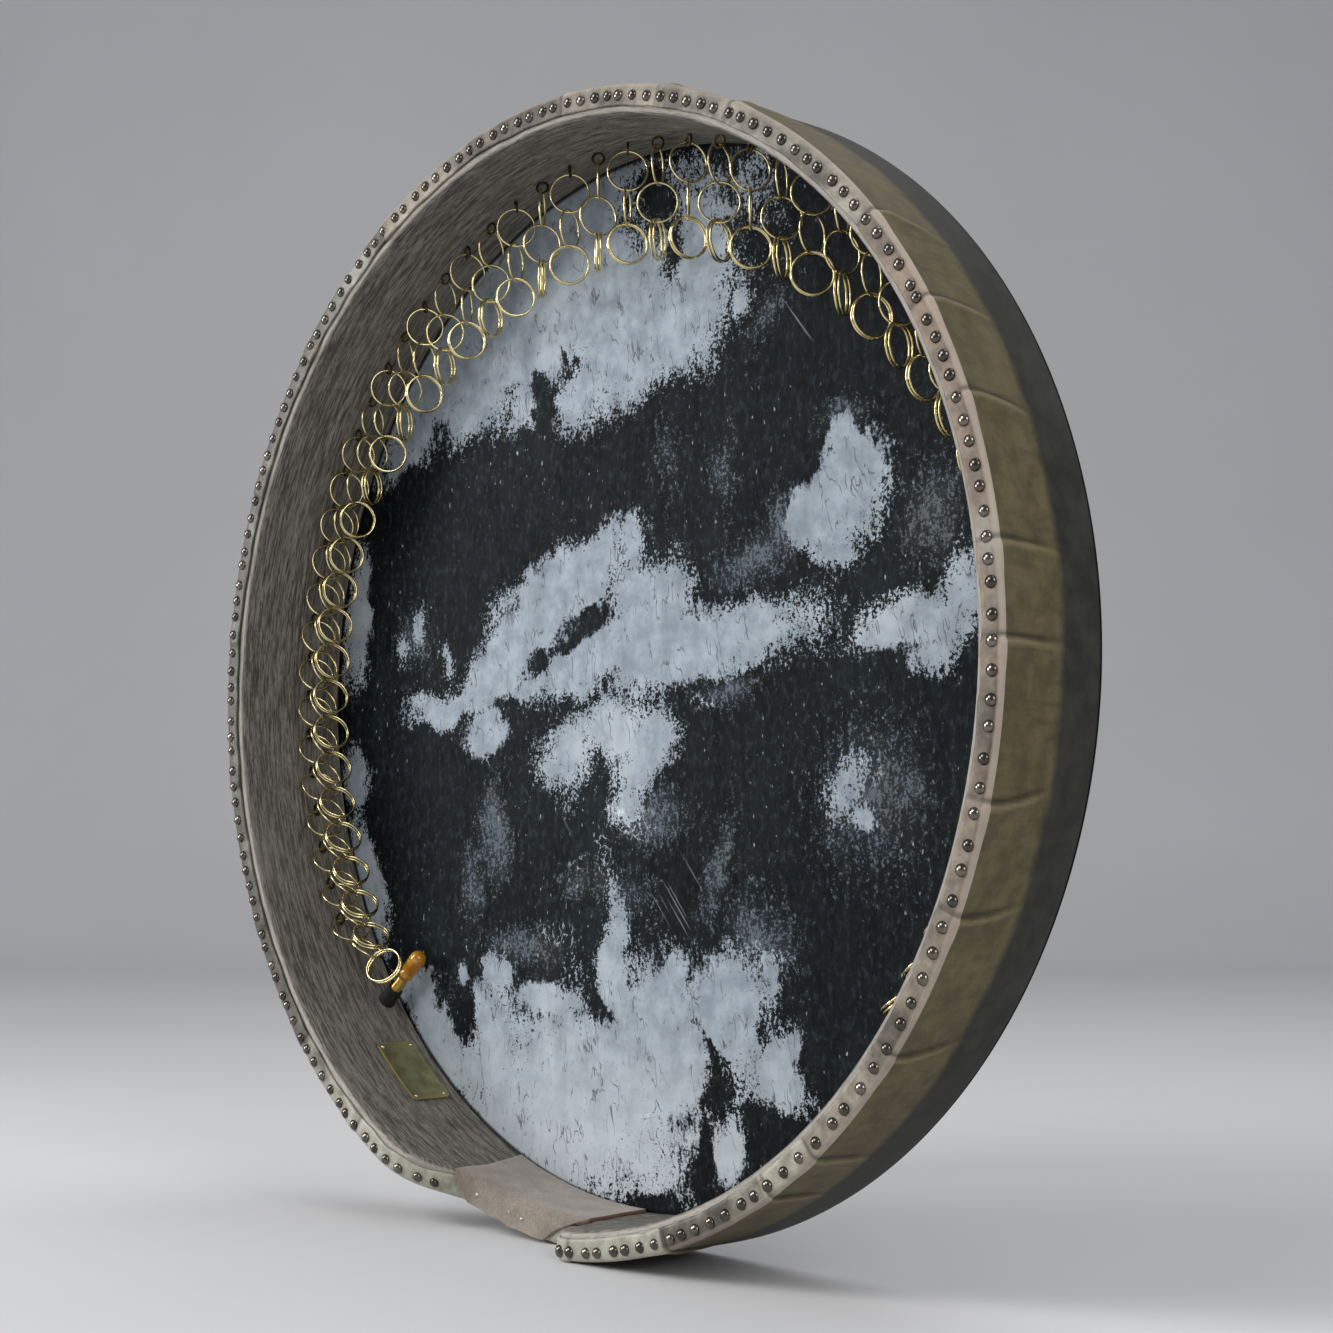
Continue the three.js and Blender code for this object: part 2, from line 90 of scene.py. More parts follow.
# Pale patches of the head, as ovals: place from its middle, half sizes in mm, turn in degrees and strength
PATCHES = (
    (-75, 190, 150, 42, 15, 1), (-160, 180, 80, 34, 40, 1), (-66, 224, 86, 24, 14, 1),
    (-120, 162, 62, 22, 18, 1), (-48, 136, 22, 13, 30, 1), (-92, 140, 12, 12, 0, 0.9),
    (-15, 160, 42, 26, 20, 1), (24, 164, 36, 24, 5, 1), (30, 190, 30, 34, 0, 1),
    (40, 222, 22, 16, 0, 0.8), (-187, 136, 26, 15, 45, 1), (64, 166, 6, 9, 0, 0.9),
    (134, 76, 25, 18, 25, 1), (117, 66, 19, 16, 0, 1), (124, 50, 10, 11, 0, 0.95),
    (127, 94, 9, 11, 0, 0.85), (-154, -8, 38, 7, 2, 1), (-118, 4, 31, 17, 15, 1),
    (-107, 22, 16, 24, -10, 1), (-50, 49, 48, 18, 25, 1), (-80, 36, 18, 17, 0, 1),
    (-7, 64, 8, 13, 0, 1), (15, 10, 96, 16, 4, 1), (2, 32, 27, 26, 0, 1), (66, 16, 38, 15, 0, 1),
    (-40, 10, 50, 13, 12, 1), (-86, -2, 16, 6, 10, 0.8), (-119, -23, 20, 12, 0, 1),
    (-58, -38, 22, 17, 10, 1), (2, -34, 21, 22, 0, 1), (-28, -23, 32, 11, 6, 1),
    (-8, -58, 14, 13, 0, 0.8), (170, 12, 35, 13, 4, 1), (193, 22, 13, 19, 0, 1),
    (132, -58, 17, 24, -8, 0.55), (141, -76, 12, 17, 0, 0.45), (-52, -204, 94, 48, -4, 1),
    (-118, -186, 52, 32, -25, 1), (-160, -182, 46, 16, -42, 1), (-90, -226, 60, 22, -22, 1),
    (-21, -136, 9, 34, 4, 1), (6, -178, 36, 44, 0, 1), (24, -142, 12, 12, 0, 0.9),
    (58, -158, 25, 30, 15, 1), (84, -180, 20, 18, -20, 1), (98, -172, 8, 10, 0, 0.8),
    (78, -142, 8, 20, 12, 0.7), (56, -216, 11, 17, 0, 1), (-178, -156, 23, 13, 20, 1),
    (-140, -146, 7, 12, 0, 0.8), (-105, -150, 16, 12, 0, 0.9), (-70, -156, 30, 12, 0, 0.9),
    (-234, 42, 12, 38, -4, 1), (-232, -45, 14, 15, 0, 1), (-222, -102, 15, 38, 18, 1),
    (-178, 30, 5, 13, 0, 0.8), (-192, 22, 6, 12, 0, 0.8), (-156, 22, 6, 10, 0, 0.7),
)

# Dark places inside the patches, hazy places, crinkled places that take painted highlights, and scratched
# ones, in the same way
HOLES = (
    (6, 228, 20, 20, 0, 0.9), (16, 205, 5, 22, 0, 0.7), (-50, 157, 8, 8, 0, 0.6),
    (-62, 160, 5, 12, 0, 0.7), (-84, 148, 9, 8, 0, 0.8), (-76, 139, 7, 8, 0, 0.9),
    (-42, 34, 26, 6, 30, 0.45), (-84, 12, 8, 11, 20, 0.9), (-28, -42, 8, 8, 0, 0.5),
    (47, -194, 12, 17, 8, 1), (41, -180, 4, 14, 0, 0.8), (41, -222, 5, 22, 0, 1),
    (-140, -164, 12, 14, -20, 1), (10, -246, 26, 10, 12, 0.8), (77, -162, 5, 12, 0, 0.6),
)
HAZES = (
    (96, 61, 20, 18, 10, 1), (74, 50, 36, 16, 10, 1), (58, -10, 30, 10, 8, 0.9), (6, -70, 28, 16, 0, 1),
    (142, -62, 40, 46, 0, 0.9), (162, -60, 22, 30, 0, 0.8), (-113, -72, 13, 32, -10, 1),
    (-131, -102, 13, 30, -6, 0.8), (-90, -132, 40, 14, 0, 0.9), (49, -90, 10, 40, -8, 0.8),
    (76, -124, 24, 30, 0, 1), (18, 104, 22, 40, 0, 0.5), (178, 58, 26, 36, 0, 0.8),
    (84, 158, 16, 32, -35, 0.7), (-182, 26, 26, 26, 0, 0.8), (-20, -104, 40, 20, 0, 0.7),
    (-50, -100, 26, 18, 0, 0.7), (52, 90, 12, 36, 0, 0.6), (126, 104, 22, 14, 0, 0.8),
)
CRINKLES = (
    (-9, -66, 24, 13, -28, 1), (-27, -84, 10, 11, 0, 1), (-47, -88, 14, 6, -10, 0.8),
    (2, -204, 11, 12, 0, 1), (14, -228, 13, 9, 0, 1), (-64, -124, 26, 12, 0, 0.7),
    (42, -15, 14, 8, 0, 0.8), (-118, -38, 12, 10, 0, 0.6),
)
SCRATCHED = (
    (20, -116, 62, 34, -12, 1), (92, 158, 26, 26, 0, 0.8), (160, -30, 40, 60, 0, 0.5),
    (-70, -60, 50, 24, 0, 0.6),
)
PATCH_SWIRL = 24  # swirls a metre along the patches' outlines
PATCH_TEAR = 10 * MM  # how far they stray

# Hoop
HOOP_WALL = 12.2 * MM
HOOP_INNER = HOOP_OUTER - HOOP_WALL
HEAD_SHADOW_LINE = 2.4 * MM  # painted shadow line on the head along the wood
HOOP_DEPTH_IN = HOOP_LOW.y - BACK  # hem's back to the wood
HOOP_BEVEL = 2.4 * MM
HOOP_EASE = 0.4 * MM  # inner corner by the head
GROOVE_SETBACK = 4 * MM
GROOVE_WIDTH = 12 * MM
GROOVE_DEPTH = 6.5 * MM
WALL_ROWS = 10
SHARP = math.radians(40)  # edges that bend more than this stay sharp

# Thumb notch
NOTCH_ANGLE = math.radians(-172)
NOTCH_DEPTH = 25 * MM
NOTCH_FLOOR = 78 * MM
NOTCH_SHOULDER = 54 * MM
NOTCH_CORNER = 7 * MM
NOTCH_FOOT_EASE = 16 * MM
NOTCH_TOP_EASE = 32 * MM
NOTCH_SPREAD = 9 * MM  # of rim past the notch that takes up its longer edge

# Tacks through the hem
TACK_HEAD = 5.2 * MM
TACK_HEIGHT = 1.8 * MM
TACK_SPACING = 9.3 * MM
TACK_SPACING_WIDE = 11.2 * MM  # low on the right
TACK_INSET = 4.4 * MM  # drum's outside to the row
TACK_INSET_TOP = 5.6 * MM  # the same at the top
TACK_SCATTER = 1.2 * MM
TACK_START = -51 * MM  # ends of the row, round the rim from the notch's middle
TACK_END = 58 * MM
DOME_SIDES = 14
DOME_ROWS = 8

# Suede pad
PAD = 1.5 * MM
PAD_HEAD_GAP = 1.4 * MM
PAD_FOLD = 2.2 * MM
PAD_REACH = 0.4 * MM  # drum's outside to the end of the fold
PAD_LIE = 0.15 * MM + PAD / 2  # hoop to the suede's middle
PAD_WALL_SHARE = 0.66  # of its length, on the inner wall
PAD_FOLD_SHARE = 0.3  # of the rest, in the fold
PAD_EASE = 0.35 * MM
PAD_ROWS = 26
PAD_COLUMNS = 64
# Its sides, as (share of the way from the head to the outer end, degrees round the drum)
PAD_RIGHT = ((0, -180.6), (0.4, -181), (0.7, -181.2), (0.86, -176.4), (1, -174.6))
PAD_LEFT = ((0, -159.3), (0.4, -160.6), (0.72, -160.3), (0.86, -160.6), (1, -162.2))
PAD_WOBBLE = 0.9 * MM
PIN_HEAD = 2 * MM
PIN_HEIGHT = 0.8 * MM
PAD_PINS = ((-163.4, 0.877), (-168.9, 0.863), (-171, 0.877))

# Brass plate
PLATE_ANGLE = math.radians(-141.7)
PLATE_LENGTH = 42 * MM
PLATE_WIDTH = 23 * MM
PLATE = 0.8 * MM
PLATE_SETBACK = 8 * MM
PLATE_GAP = 0.3 * MM
PLATE_CORNER = 2.5 * MM
PLATE_PIN_INSET = 2.6 * MM
PLATE_Y = FACE - PLATE_SETBACK - PLATE_WIDTH / 2
PLATE_EASE = 0.15 * MM
PLATE_SHARP = math.radians(35)
PLATE_COLUMNS = 36
PLATE_ROWS = 8

# Valve, measured from the drum's middle
VALVE_ANGLE = math.radians(-130.4)
VALVE_Y = FACE - GROOVE_SETBACK - GROOVE_WIDTH / 2
COLLAR_FOOT = HOOP_INNER + 0.2 * MM
COLLAR_TOP = COLLAR_FOOT - 10.8 * MM
CAP_FOOT = COLLAR_TOP - 11 * MM
CAP_TOP = CAP_FOOT - 18 * MM
STEM_TOP = CAP_FOOT - 12 * MM
STEM_RADIUS = 3 * MM
STEM_TIP_RADIUS = 2.4 * MM
COLLAR_RADIUS = 4.2 * MM
CAP_RADIUS = 4.4 * MM
CAP_NECK_RADIUS = 3.7 * MM
THREAD_PITCH = 0.9 * MM
THREAD_DEPTH = 0.22 * MM
STEM_ROOT = COLLAR_FOOT + 6 * MM
COLLAR_LIP = 0.5 * MM
CAP_SHARP = math.radians(60)
VALVE_SIDES = 40
AXIS_GAP = 0.02 * MM  # turned pieces end just off their axis

# Ring chains
RING = 20 * MM
RING_WIRE = 1.15 * MM
RING_STEPS = 34
WIRE_STEPS = 6
PAIR_SPREAD = 0.9 * MM
CHAIN_END = math.radians(119)  # of the last eye on each side
CHAIN_FALL = math.radians(60)  # most turn between a chain and the radius of its eye
CHAIN_CLEARANCE = 3 * MM
LINK_TWIST = math.radians(25)
LINK_TWIST_MOST = math.radians(80)
LINK_TWIST_SHARE = 1.4
TURN_STEP = 2.4
RING_STRAY = math.radians(9)  # of a ring from its even turn
VALVE_TURN = math.radians(-40)  # more turn of the pair beside the valve
HANG_PLAY = 0.5 * MM  # between a chain's first ring and its eye
EYE = 6.8 * MM
EYE_WIRE = 1.2 * MM
EYE_SHANK = 4.5 * MM
EYE_STEPS = 14
SHANK_SIDES = 8

# Stage and camera
FLOOR_REACH = 6
WALL_AWAY = 3.2
WALL_BEND = 0.9
WALL_BEND_STEPS = 16
WALL_TOP = 4.5
CAMERA_PLACE = Vector((0.7873, -0.6937, 0.1833))
CAMERA_AHEAD = Vector((-0.7267, 0.6824, 0.0795))
CAMERA_TURN = math.atan2(-CAMERA_AHEAD.x, CAMERA_AHEAD.y)
CAMERA_LENS = 60.95


# Points of the drum

def place(angle, radius, y):
    """A point at an angle from the drum's top towards +X, a distance from its axis and a depth."""
    return Vector((radius * math.sin(angle), y, MIDDLE + radius * math.cos(angle)))


def lerp(a, b, share):
    return a + (b - a) * share


def smooth(low, high, value):
    share = min(max((value - low) / (high - low), 0), 1)
    return share * share * (3 - 2 * share)


def along(stops, share):
    """The value at a share of the way through (share, value) stops."""
    for (a, low), (b, high) in zip(stops, stops[1:]):
        if share <= b:
            return lerp(low, high, (share - a) / (b - a))
    return stops[-1][1]


def round_points(centre, radius, start, end, steps):
    turns = [math.radians(lerp(start, end, i / steps)) for i in range(steps + 1)]
    return [Vector((centre[0] + radius * math.cos(t), centre[1] + radius * math.sin(t))) for t in turns]


def bezier(a, b, c, d, steps):
    points = []
    for i in range(steps + 1):
        t = i / steps
        u = 1 - t
        points.append(a * u**3 + b * 3 * u * u * t + c * 3 * u * t * t + d * t**3)
    return points


class Column:
    """A place on the back edge, laid flat: distance round the rim from the notch's middle, and depth."""

    def __init__(self, point, outward, front):
        self.point, self.outward, self.front = point, outward, front

    def rim(self, radius, inwards):
        """A point of the rim, a distance from the back edge into the drum."""
        at = self.point - self.outward * inwards
        return place(NOTCH_ANGLE + at.x / RADIUS, radius, at.y)

    def side(self, radius, start, end_y, share):
        """A point between the rim, a distance from its back edge, and a depth near the head."""
        at = (self.point - self.outward * start).lerp(Vector((self.front, end_y)), share)
        return place(NOTCH_ANGLE + at.x / RADIUS, radius, at.y)


def back_edge_outline():
    """The back edge as a line: the steep corner, the notch's floor and shoulder, then round the drum."""
    floor = BACK + NOTCH_DEPTH
    steep = -NOTCH_FLOOR / 2 - NOTCH_CORNER
    foot = NOTCH_FLOOR / 2
    top = foot + NOTCH_SHOULDER
    line = round_points((steep - NOTCH_CORNER, BACK + NOTCH_CORNER), NOTCH_CORNER, -90, 0, 8)
    line += round_points((steep + NOTCH_CORNER, floor - NOTCH_CORNER), NOTCH_CORNER, 180, 90, 8)
    line += bezier(
        Vector((foot, floor)), Vector((foot + NOTCH_FOOT_EASE, floor)),
        Vector((top - NOTCH_TOP_EASE, BACK)), Vector((top, BACK)), 24)
    line.append(Vector((steep - NOTCH_CORNER + ROUND, BACK)))
    return line


def back_edge(step):
    """Columns round the back edge, about a step apart."""
    line = back_edge_outline()
    lengths = [0]
    for a, b in zip(line, line[1:]):
        lengths.append(lengths[-1] + (b - a).length)
    count = round(lengths[-1] / step)
    points, segment = [], 0
    for i in range(count):
        run = lengths[-1] * i / count
        while lengths[segment + 1] < run:
            segment += 1
        share = (run - lengths[segment]) / (lengths[segment + 1] - lengths[segment])
        points.append(line[segment].lerp(line[segment + 1], share))
    notch_run = lengths[-2] + NOTCH_SPREAD
    low, high = line[0].x - NOTCH_SPREAD, line[-2].x + NOTCH_SPREAD
    columns = []
    for i, point in enumerate(points):
        before = points[i - 1] if i else points[-1] - Vector((ROUND, 0))
        after = points[i + 1] if i + 1 < count else points[0] + Vector((ROUND, 0))
        ahead = (after - before).normalized()
        run = lengths[-1] * i / count
        left = lengths[-1] - run
        front = point.x
        if run < notch_run:
            front = lerp(low, high, (run + NOTCH_SPREAD) / (notch_run + NOTCH_SPREAD))
        elif left < NOTCH_SPREAD:
            front = ROUND + lerp(low, high, (NOTCH_SPREAD - left) / (notch_run + NOTCH_SPREAD))
        columns.append(Column(point, Vector((ahead.y, -ahead.x)), front))
    return columns


EDGE = back_edge(EDGE_STEP)


def edge_at(distance):
    """The back edge at a distance round the rim from the notch's middle, past the steep corner."""
    for a, b in zip(EDGE, EDGE[1:]):
        if a.point.x <= distance <= b.point.x and b.point.x > a.point.x:
            share = (distance - a.point.x) / (b.point.x - a.point.x)
            outward = a.outward.lerp(b.outward, share).normalized()
            return Column(a.point.lerp(b.point, share), outward, distance)
    return EDGE[-1]


# Meshes

def new_piece(name, points, faces, *materials, smooth_shaded=True):
    mesh = bpy.data.meshes.new(name)
    mesh.from_pydata([tuple(p) for p in points], [], faces)
    mesh.update()
    for material in materials:
        mesh.materials.append(material)
    if smooth_shaded:
        mesh.shade_smooth()
    piece = bpy.data.objects.new(name, mesh)
    bpy.context.scene.collection.objects.link(piece)
    return piece


def loft(sections, closed_round=True, closed_section=True):
    """Points and faces of a surface through sections with the same number of points."""
    count = len(sections[0])
    points = [p for section in sections for p in section]
    faces = []
    rounds = len(sections) if closed_round else len(sections) - 1
    steps = count if closed_section else count - 1
    for i in range(rounds):
        a, b = i * count, (i + 1) % len(sections) * count
        for j in range(steps):
            k = (j + 1) % count
            faces.append((a + j, a + k, b + k, b + j))
    return points, faces


def settle(piece, body, slot, *nodes):
    """A finished piece: it rides on a body and stands for CAD nodes. Its slot is not used."""
    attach(piece, body)
    if nodes:
        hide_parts(*nodes)
    return piece


def apply_modifiers(piece):
    """Turns a piece and its modifiers into a plain mesh."""
    graph = bpy.context.evaluated_depsgraph_get()
    made = bpy.data.meshes.new_from_object(piece.evaluated_get(graph))
    piece.modifiers.clear()
    piece.data = made
    return piece


def thicken(piece, thickness, ease, rim_finish=0):
    """Gives a sheet its thickness and eased edges. The rim can take another of the piece's finishes."""
    thick = piece.modifiers.new("thickness", "SOLIDIFY")
    thick.thickness = thickness
    thick.offset = 0
    thick.material_offset_rim = rim_finish
    eased = piece.modifiers.new("eased", "BEVEL")
    eased.width = ease
    eased.segments = 2
    eased.limit_method = "ANGLE"
    apply_modifiers(piece)
    piece.data.shade_smooth()


def carry(piece, name, vectors):
    """Lays a named vector on each point of a piece."""
    layer = piece.data.attributes.new(name, "FLOAT_VECTOR", "POINT")
    layer.data.foreach_set("vector", [part for vector in vectors for part in vector])


# Node trees

class Value:
    """An output of a node. Sums on it add Math nodes."""

    def __init__(self, graph, socket):
        self.graph, self.socket = graph, socket

    def sum(self, operation, a, b):
        return self.graph.node("ShaderNodeMath", {"operation": operation}, {0: a, 1: b})

    def __add__(self, other):
        return self.sum("ADD", self, other)

    def __radd__(self, other):
        return self.sum("ADD", other, self)

    def __sub__(self, other):
        return self.sum("SUBTRACT", self, other)

    def __rsub__(self, other):
        return self.sum("SUBTRACT", other, self)

    def __mul__(self, other):
        return self.sum("MULTIPLY", self, other)

    def __truediv__(self, other):
        return self.sum("DIVIDE", self, other)

    def __pow__(self, other):
        return self.sum("POWER", self, other)

    def most(self, other):
        return self.sum("MAXIMUM", self, other)

    def least(self, other):
        return self.sum("MINIMUM", self, other)

    def size(self):
        return self.sum("ABSOLUTE", self, 0)

    def step(self, low, high):
        """0 below low and 1 above high, smooth between them."""
        return self.graph.node(
            "ShaderNodeMapRange", {"interpolation_type": "SMOOTHSTEP"},
            {"Value": self, "From Min": low, "From Max": high})


class Graph:
    """Adds nodes to a tree."""

    def __init__(self, tree):
        self.tree = tree

    def node(self, kind, settings=None, inputs=None, output=0):
        made = self.tree.nodes.new(kind)
        for name, value in (settings or {}).items():
            setattr(made, name, value)
        for name, value in (inputs or {}).items():
            self.feed(made.inputs[name], value)
        return Value(self, made.outputs[output])

    def feed(self, socket, value):
        if isinstance(value, Value):
            self.tree.links.new(value.socket, socket)
        else:
            socket.default_value = value


def srgb(red, green, blue):
    """A colour as it shows on a screen, from 0 to 255, as the shaders want it."""
    def linear(part):
        part /= 255
        return part / 12.92 if part <= 0.04045 else ((part + 0.055) / 1.055) ** 2.4
    return linear(red), linear(green), linear(blue), 1.0


class Finish(Graph):
    """One material, on the piece's own coordinates."""

    def __init__(self, name, **fixed):
        self.material = bpy.data.materials.new(name)
        self.material.use_nodes = True
        super().__init__(self.material.node_tree)
        self.shader = self.tree.nodes["Principled BSDF"]
        self.coords = self.node("ShaderNodeTexCoord", output="Object")
        for socket, value in fixed.items():
            self.shader.inputs[socket.replace("_", " ")].default_value = value

    def parts(self, vector=None):
        split = self.node("ShaderNodeSeparateXYZ", None, {0: vector or self.coords}).socket.node
        return [Value(self, out) for out in split.outputs]

    def vector(self, x, y, z):
        return self.node("ShaderNodeCombineXYZ", None, {0: x, 1: y, 2: z})

    def moved(self, operation, vector, by):
        return self.node("ShaderNodeVectorMath", {"operation": operation}, {0: vector, 1: by})

    def stretched(self, x, y, z, vector):
        return self.moved("MULTIPLY", vector, (x, y, z))

    def noise(self, scale, detail=4, roughness=0.55, vector=None, distortion=0):
        return self.node("ShaderNodeTexNoise", None, {
            "Vector": vector or self.coords, "Scale": scale, "Detail": detail, "Roughness": roughness,
            "Distortion": distortion})

    def cell_edges(self, scale, vector):
        settings = {"feature": "DISTANCE_TO_EDGE"}
        return self.node("ShaderNodeTexVoronoi", settings, {"Vector": vector, "Scale": scale})

    def mix(self, share, a, b):
        return self.node("ShaderNodeMix", {"data_type": "RGBA"}, {0: share, 6: a, 7: b}, 2)

    def layered(self, colour, *layers):
        """A colour with others over it, each by its own share."""
        for share, over in layers:
            colour = self.mix(share, colour, srgb(*over))
        return colour

    def carried(self, name):
        """A vector that the mesh carries at its points."""
        return self.node("ShaderNodeAttribute", {"attribute_name": name}, None, "Vector")

    def done(self, colour, roughness, height=None, depth=None):
        """The material, with a colour, a roughness and perhaps the height and depth of its fine relief."""
        sockets = {"Base Color": colour, "Roughness": roughness}
        if height:
            sockets["Normal"] = self.node("ShaderNodeBump", None, {
                "Height": height, "Strength": 1.0, "Distance": depth})
        for socket, value in sockets.items():
            self.feed(self.shader.inputs[socket], value)
        return self.material

    def polar(self):
        """Angle round the drum, distance from its axis, and depth."""
        x, y, z = self.parts()
        up = z - MIDDLE
        angle = self.node("ShaderNodeMath", {"operation": "ARCTAN2"}, {0: x, 1: up})
        return angle, (x * x + up * up) ** 0.5, y


# Finishes

def make_wood():
    """Weathered grey-brown wood, its fine grain running round the hoop, with a painted highlight along its
    inner back edge.
    """
    f = Finish("hoop_wood", Specular_IOR_Level=0.35)
    angle, radius, y = f.polar()
    grain_line = f.vector(angle * 20, y * 1000, radius * 1000)
    figure_line = f.vector(angle * 3, y * 90, radius * 90)
    pores_line = f.vector(angle * 55, y * 1900, radius * 1900)
    grain = f.noise(1, 5, 0.62, grain_line)
    figure = f.noise(1, 3, 0.5, figure_line, 0.4)
    pores = f.noise(1, 2, 0.5, pores_line).step(0.55, 0.67)
    wear = f.noise(14, 4, 0.6)
    colour = f.mix(grain.step(0.37, 0.64), srgb(70, 66, 60), srgb(142, 137, 128))
    # painted highlight along the hoop's inner back edge, made uneven by the wear noise
    bevel_highlight = radius.step(HOOP_INNER + 0.3 * MM, HOOP_INNER + 1.6 * MM)
    colour = f.layered(
        colour,
        (figure.step(0.35, 0.7) * 0.45, (110, 102, 93)),
        (pores * 0.65, (46, 41, 36)),
        (wear.step(0.5, 0.75) * 0.25, (150, 144, 135)),
        (bevel_highlight * (0.3 + wear * 0.5), (186, 180, 169)))
    height = grain * 0.6 - pores * 0.8
    return f.done(colour, 0.55 + grain * 0.25, height, 0.2 * MM)


def torn(f, where, scale, reach):
    """Places on the head, each moved a little to one side or another."""
    swirl = f.node("ShaderNodeTexNoise", None, {
        "Vector": where, "Scale": scale, "Detail": 5.0, "Roughness": 0.68}, "Color")
    aside = f.moved("SUBTRACT", swirl, (0.5, 0.5, 0.5))
    return f.moved("ADD", where, f.stretched(reach, 0, reach, aside))


def make_head():
    """The head: charcoal hide with pale bluish patches, hazes, flecks, cracks, crinkled places and
    scratches; painted highlights on the crinkle lines, painted light on the lower pale parts and a painted
    shadow line along the hoop.
    """
    f = Finish("head_skin", Specular_IOR_Level=0.06)
    x, y, z = f.parts()
    _, radius, _ = f.polar()
    up = z - MIDDLE
    where = f.vector(x, 0, up)
    cloud = f.noise(11, 5, 0.6, where)
    ragged = f.noise(30, 5, 0.7, where)
    mottled = f.noise(75, 4, 0.65, where)
    flakes = f.noise(300, 4, 0.7, f.stretched(1, 1, 0.6, where))
    speckled = f.noise(640, 3, 0.72, where)
    grain = flakes * 0.4 + speckled * 0.6
    hair = f.noise(1, 4, 0.65, f.vector(x * 270 + z * 30, 0, z * 110))
    brushed = f.noise(1, 4, 0.6, f.vector(x * 130, 0, z * 26))
    folds = f.noise(1, 3, 0.55, f.vector(x * 44, 0, z * 8))

    paleness, hazes, _ = f.parts(f.carried("patches"))
    crinkled, scratched, _ = f.parts(f.carried("marks"))
    dissolved = f.noise(15, 2, 0.5, where).step(0.38, 0.62) * 4.2 + 1
    uneven = (ragged - 0.5) * 1.3 + (hair - 0.5) * 0.8 + (grain - 0.5) * dissolved
    pale = (paleness + uneven).step(-0.07, 0.13)
    haze = (hazes * 0.5 + (grain - 0.5) * 4 + (hair - 0.5) * 0.8).step(0.2, 0.46) * 0.65
    haze = haze.most(hazes.step(0, 0.9) * 0.15)
    halo = (paleness.least(0) * 0.26 + grain).step(0.52, 0.6) * 0.6

    flecks = f.noise(420, 1, 0.5, f.stretched(1.2, 1, 0.55, where)).step(0.69, 0.75) * cloud.step(0.42, 0.6)
    crack_line = f.vector(x * 140 + z * 30, 0, z * 42 - x * 24)
    cracks = (f.noise(1, 2, 0.5, crack_line) - 0.5).size().step(0.013, 0.003)
    cracks = cracks * f.noise(70, 2, 0.5, where).step(0.49, 0.58)
    # crinkle lines: raised a little, and given painted highlights in colour
    crinkle_ridge_highlights = f.cell_edges(150, torn(f, where, 90.0, 0.012)).step(0.05, 0.012)
    crinkle_ridge_highlights = crinkle_ridge_highlights * crinkled.step(0.05, 0.4) * flakes.step(0.4, 0.56)
    scratch_line = f.vector(x * 9 - z * 11, 0, x * 400 + z * 330)
    scratches = f.noise(1, 2, 0.4, scratch_line).step(0.66, 0.73) * scratched.step(0, 0.4)

    # painted shadow line on the head's inner face where it meets the hoop's wall
    inside = y.step(FACE - 0.3 * HIDE, FACE - 0.7 * HIDE)
    wood_shadow_line = radius.step(HOOP_INNER - HEAD_SHADOW_LINE, HOOP_INNER - 0.3 * HEAD_SHADOW_LINE) * inside

    dark = f.layered(
        f.mix(brushed.step(0.3, 0.75), srgb(7, 10, 11), srgb(18, 23, 25)),
        (flakes.step(0.47, 0.7) * (0.2 + cloud * 0.7), (50, 60, 65)),
        (cloud.step(0.45, 0.75) * 0.35, (37, 45, 49)))
    light = f.layered(
        f.mix(mottled.step(0.3, 0.7), srgb(130, 140, 149), srgb(162, 172, 181)),
        (folds.step(0.5, 0.72) * 0.5, (116, 124, 131)),
        (cloud.step(0.52, 0.7) * 0.55, (192, 200, 206)),
        # painted light: the pale parts lighter towards the bottom of the head
        (up.step(-150 * MM, -240 * MM) * 0.5, (210, 216, 219)),
        (flakes.step(0.56, 0.7) * 0.35, (106, 113, 119)),
        (speckled.step(0.62, 0.7) * 0.35, (92, 97, 102)))
    misty = f.mix(cloud.step(0.5, 0.65), srgb(110, 120, 129), srgb(110, 112, 110))
    colour = f.layered(
        f.mix(pale, f.mix(haze.most(halo), dark, misty), light),
        (flecks * 0.7, (172, 179, 184)),
        (scratches * 0.5, (150, 158, 165)),
        (cracks * pale * 0.65, (54, 57, 60)),
        # painted highlights on the crinkle lines
        (crinkle_ridge_highlights * 0.85, (208, 216, 226)),
        # painted shadow line along the hoop
        (wood_shadow_line * 0.9, (9, 9, 10)))
    height = mottled * 0.5 + flakes * 0.3 - cracks * 0.6 + brushed * 0.3 + crinkle_ridge_highlights * 0.6
    return f.done(colour, 0.5 + mottled * 0.25, height, 0.35 * MM)


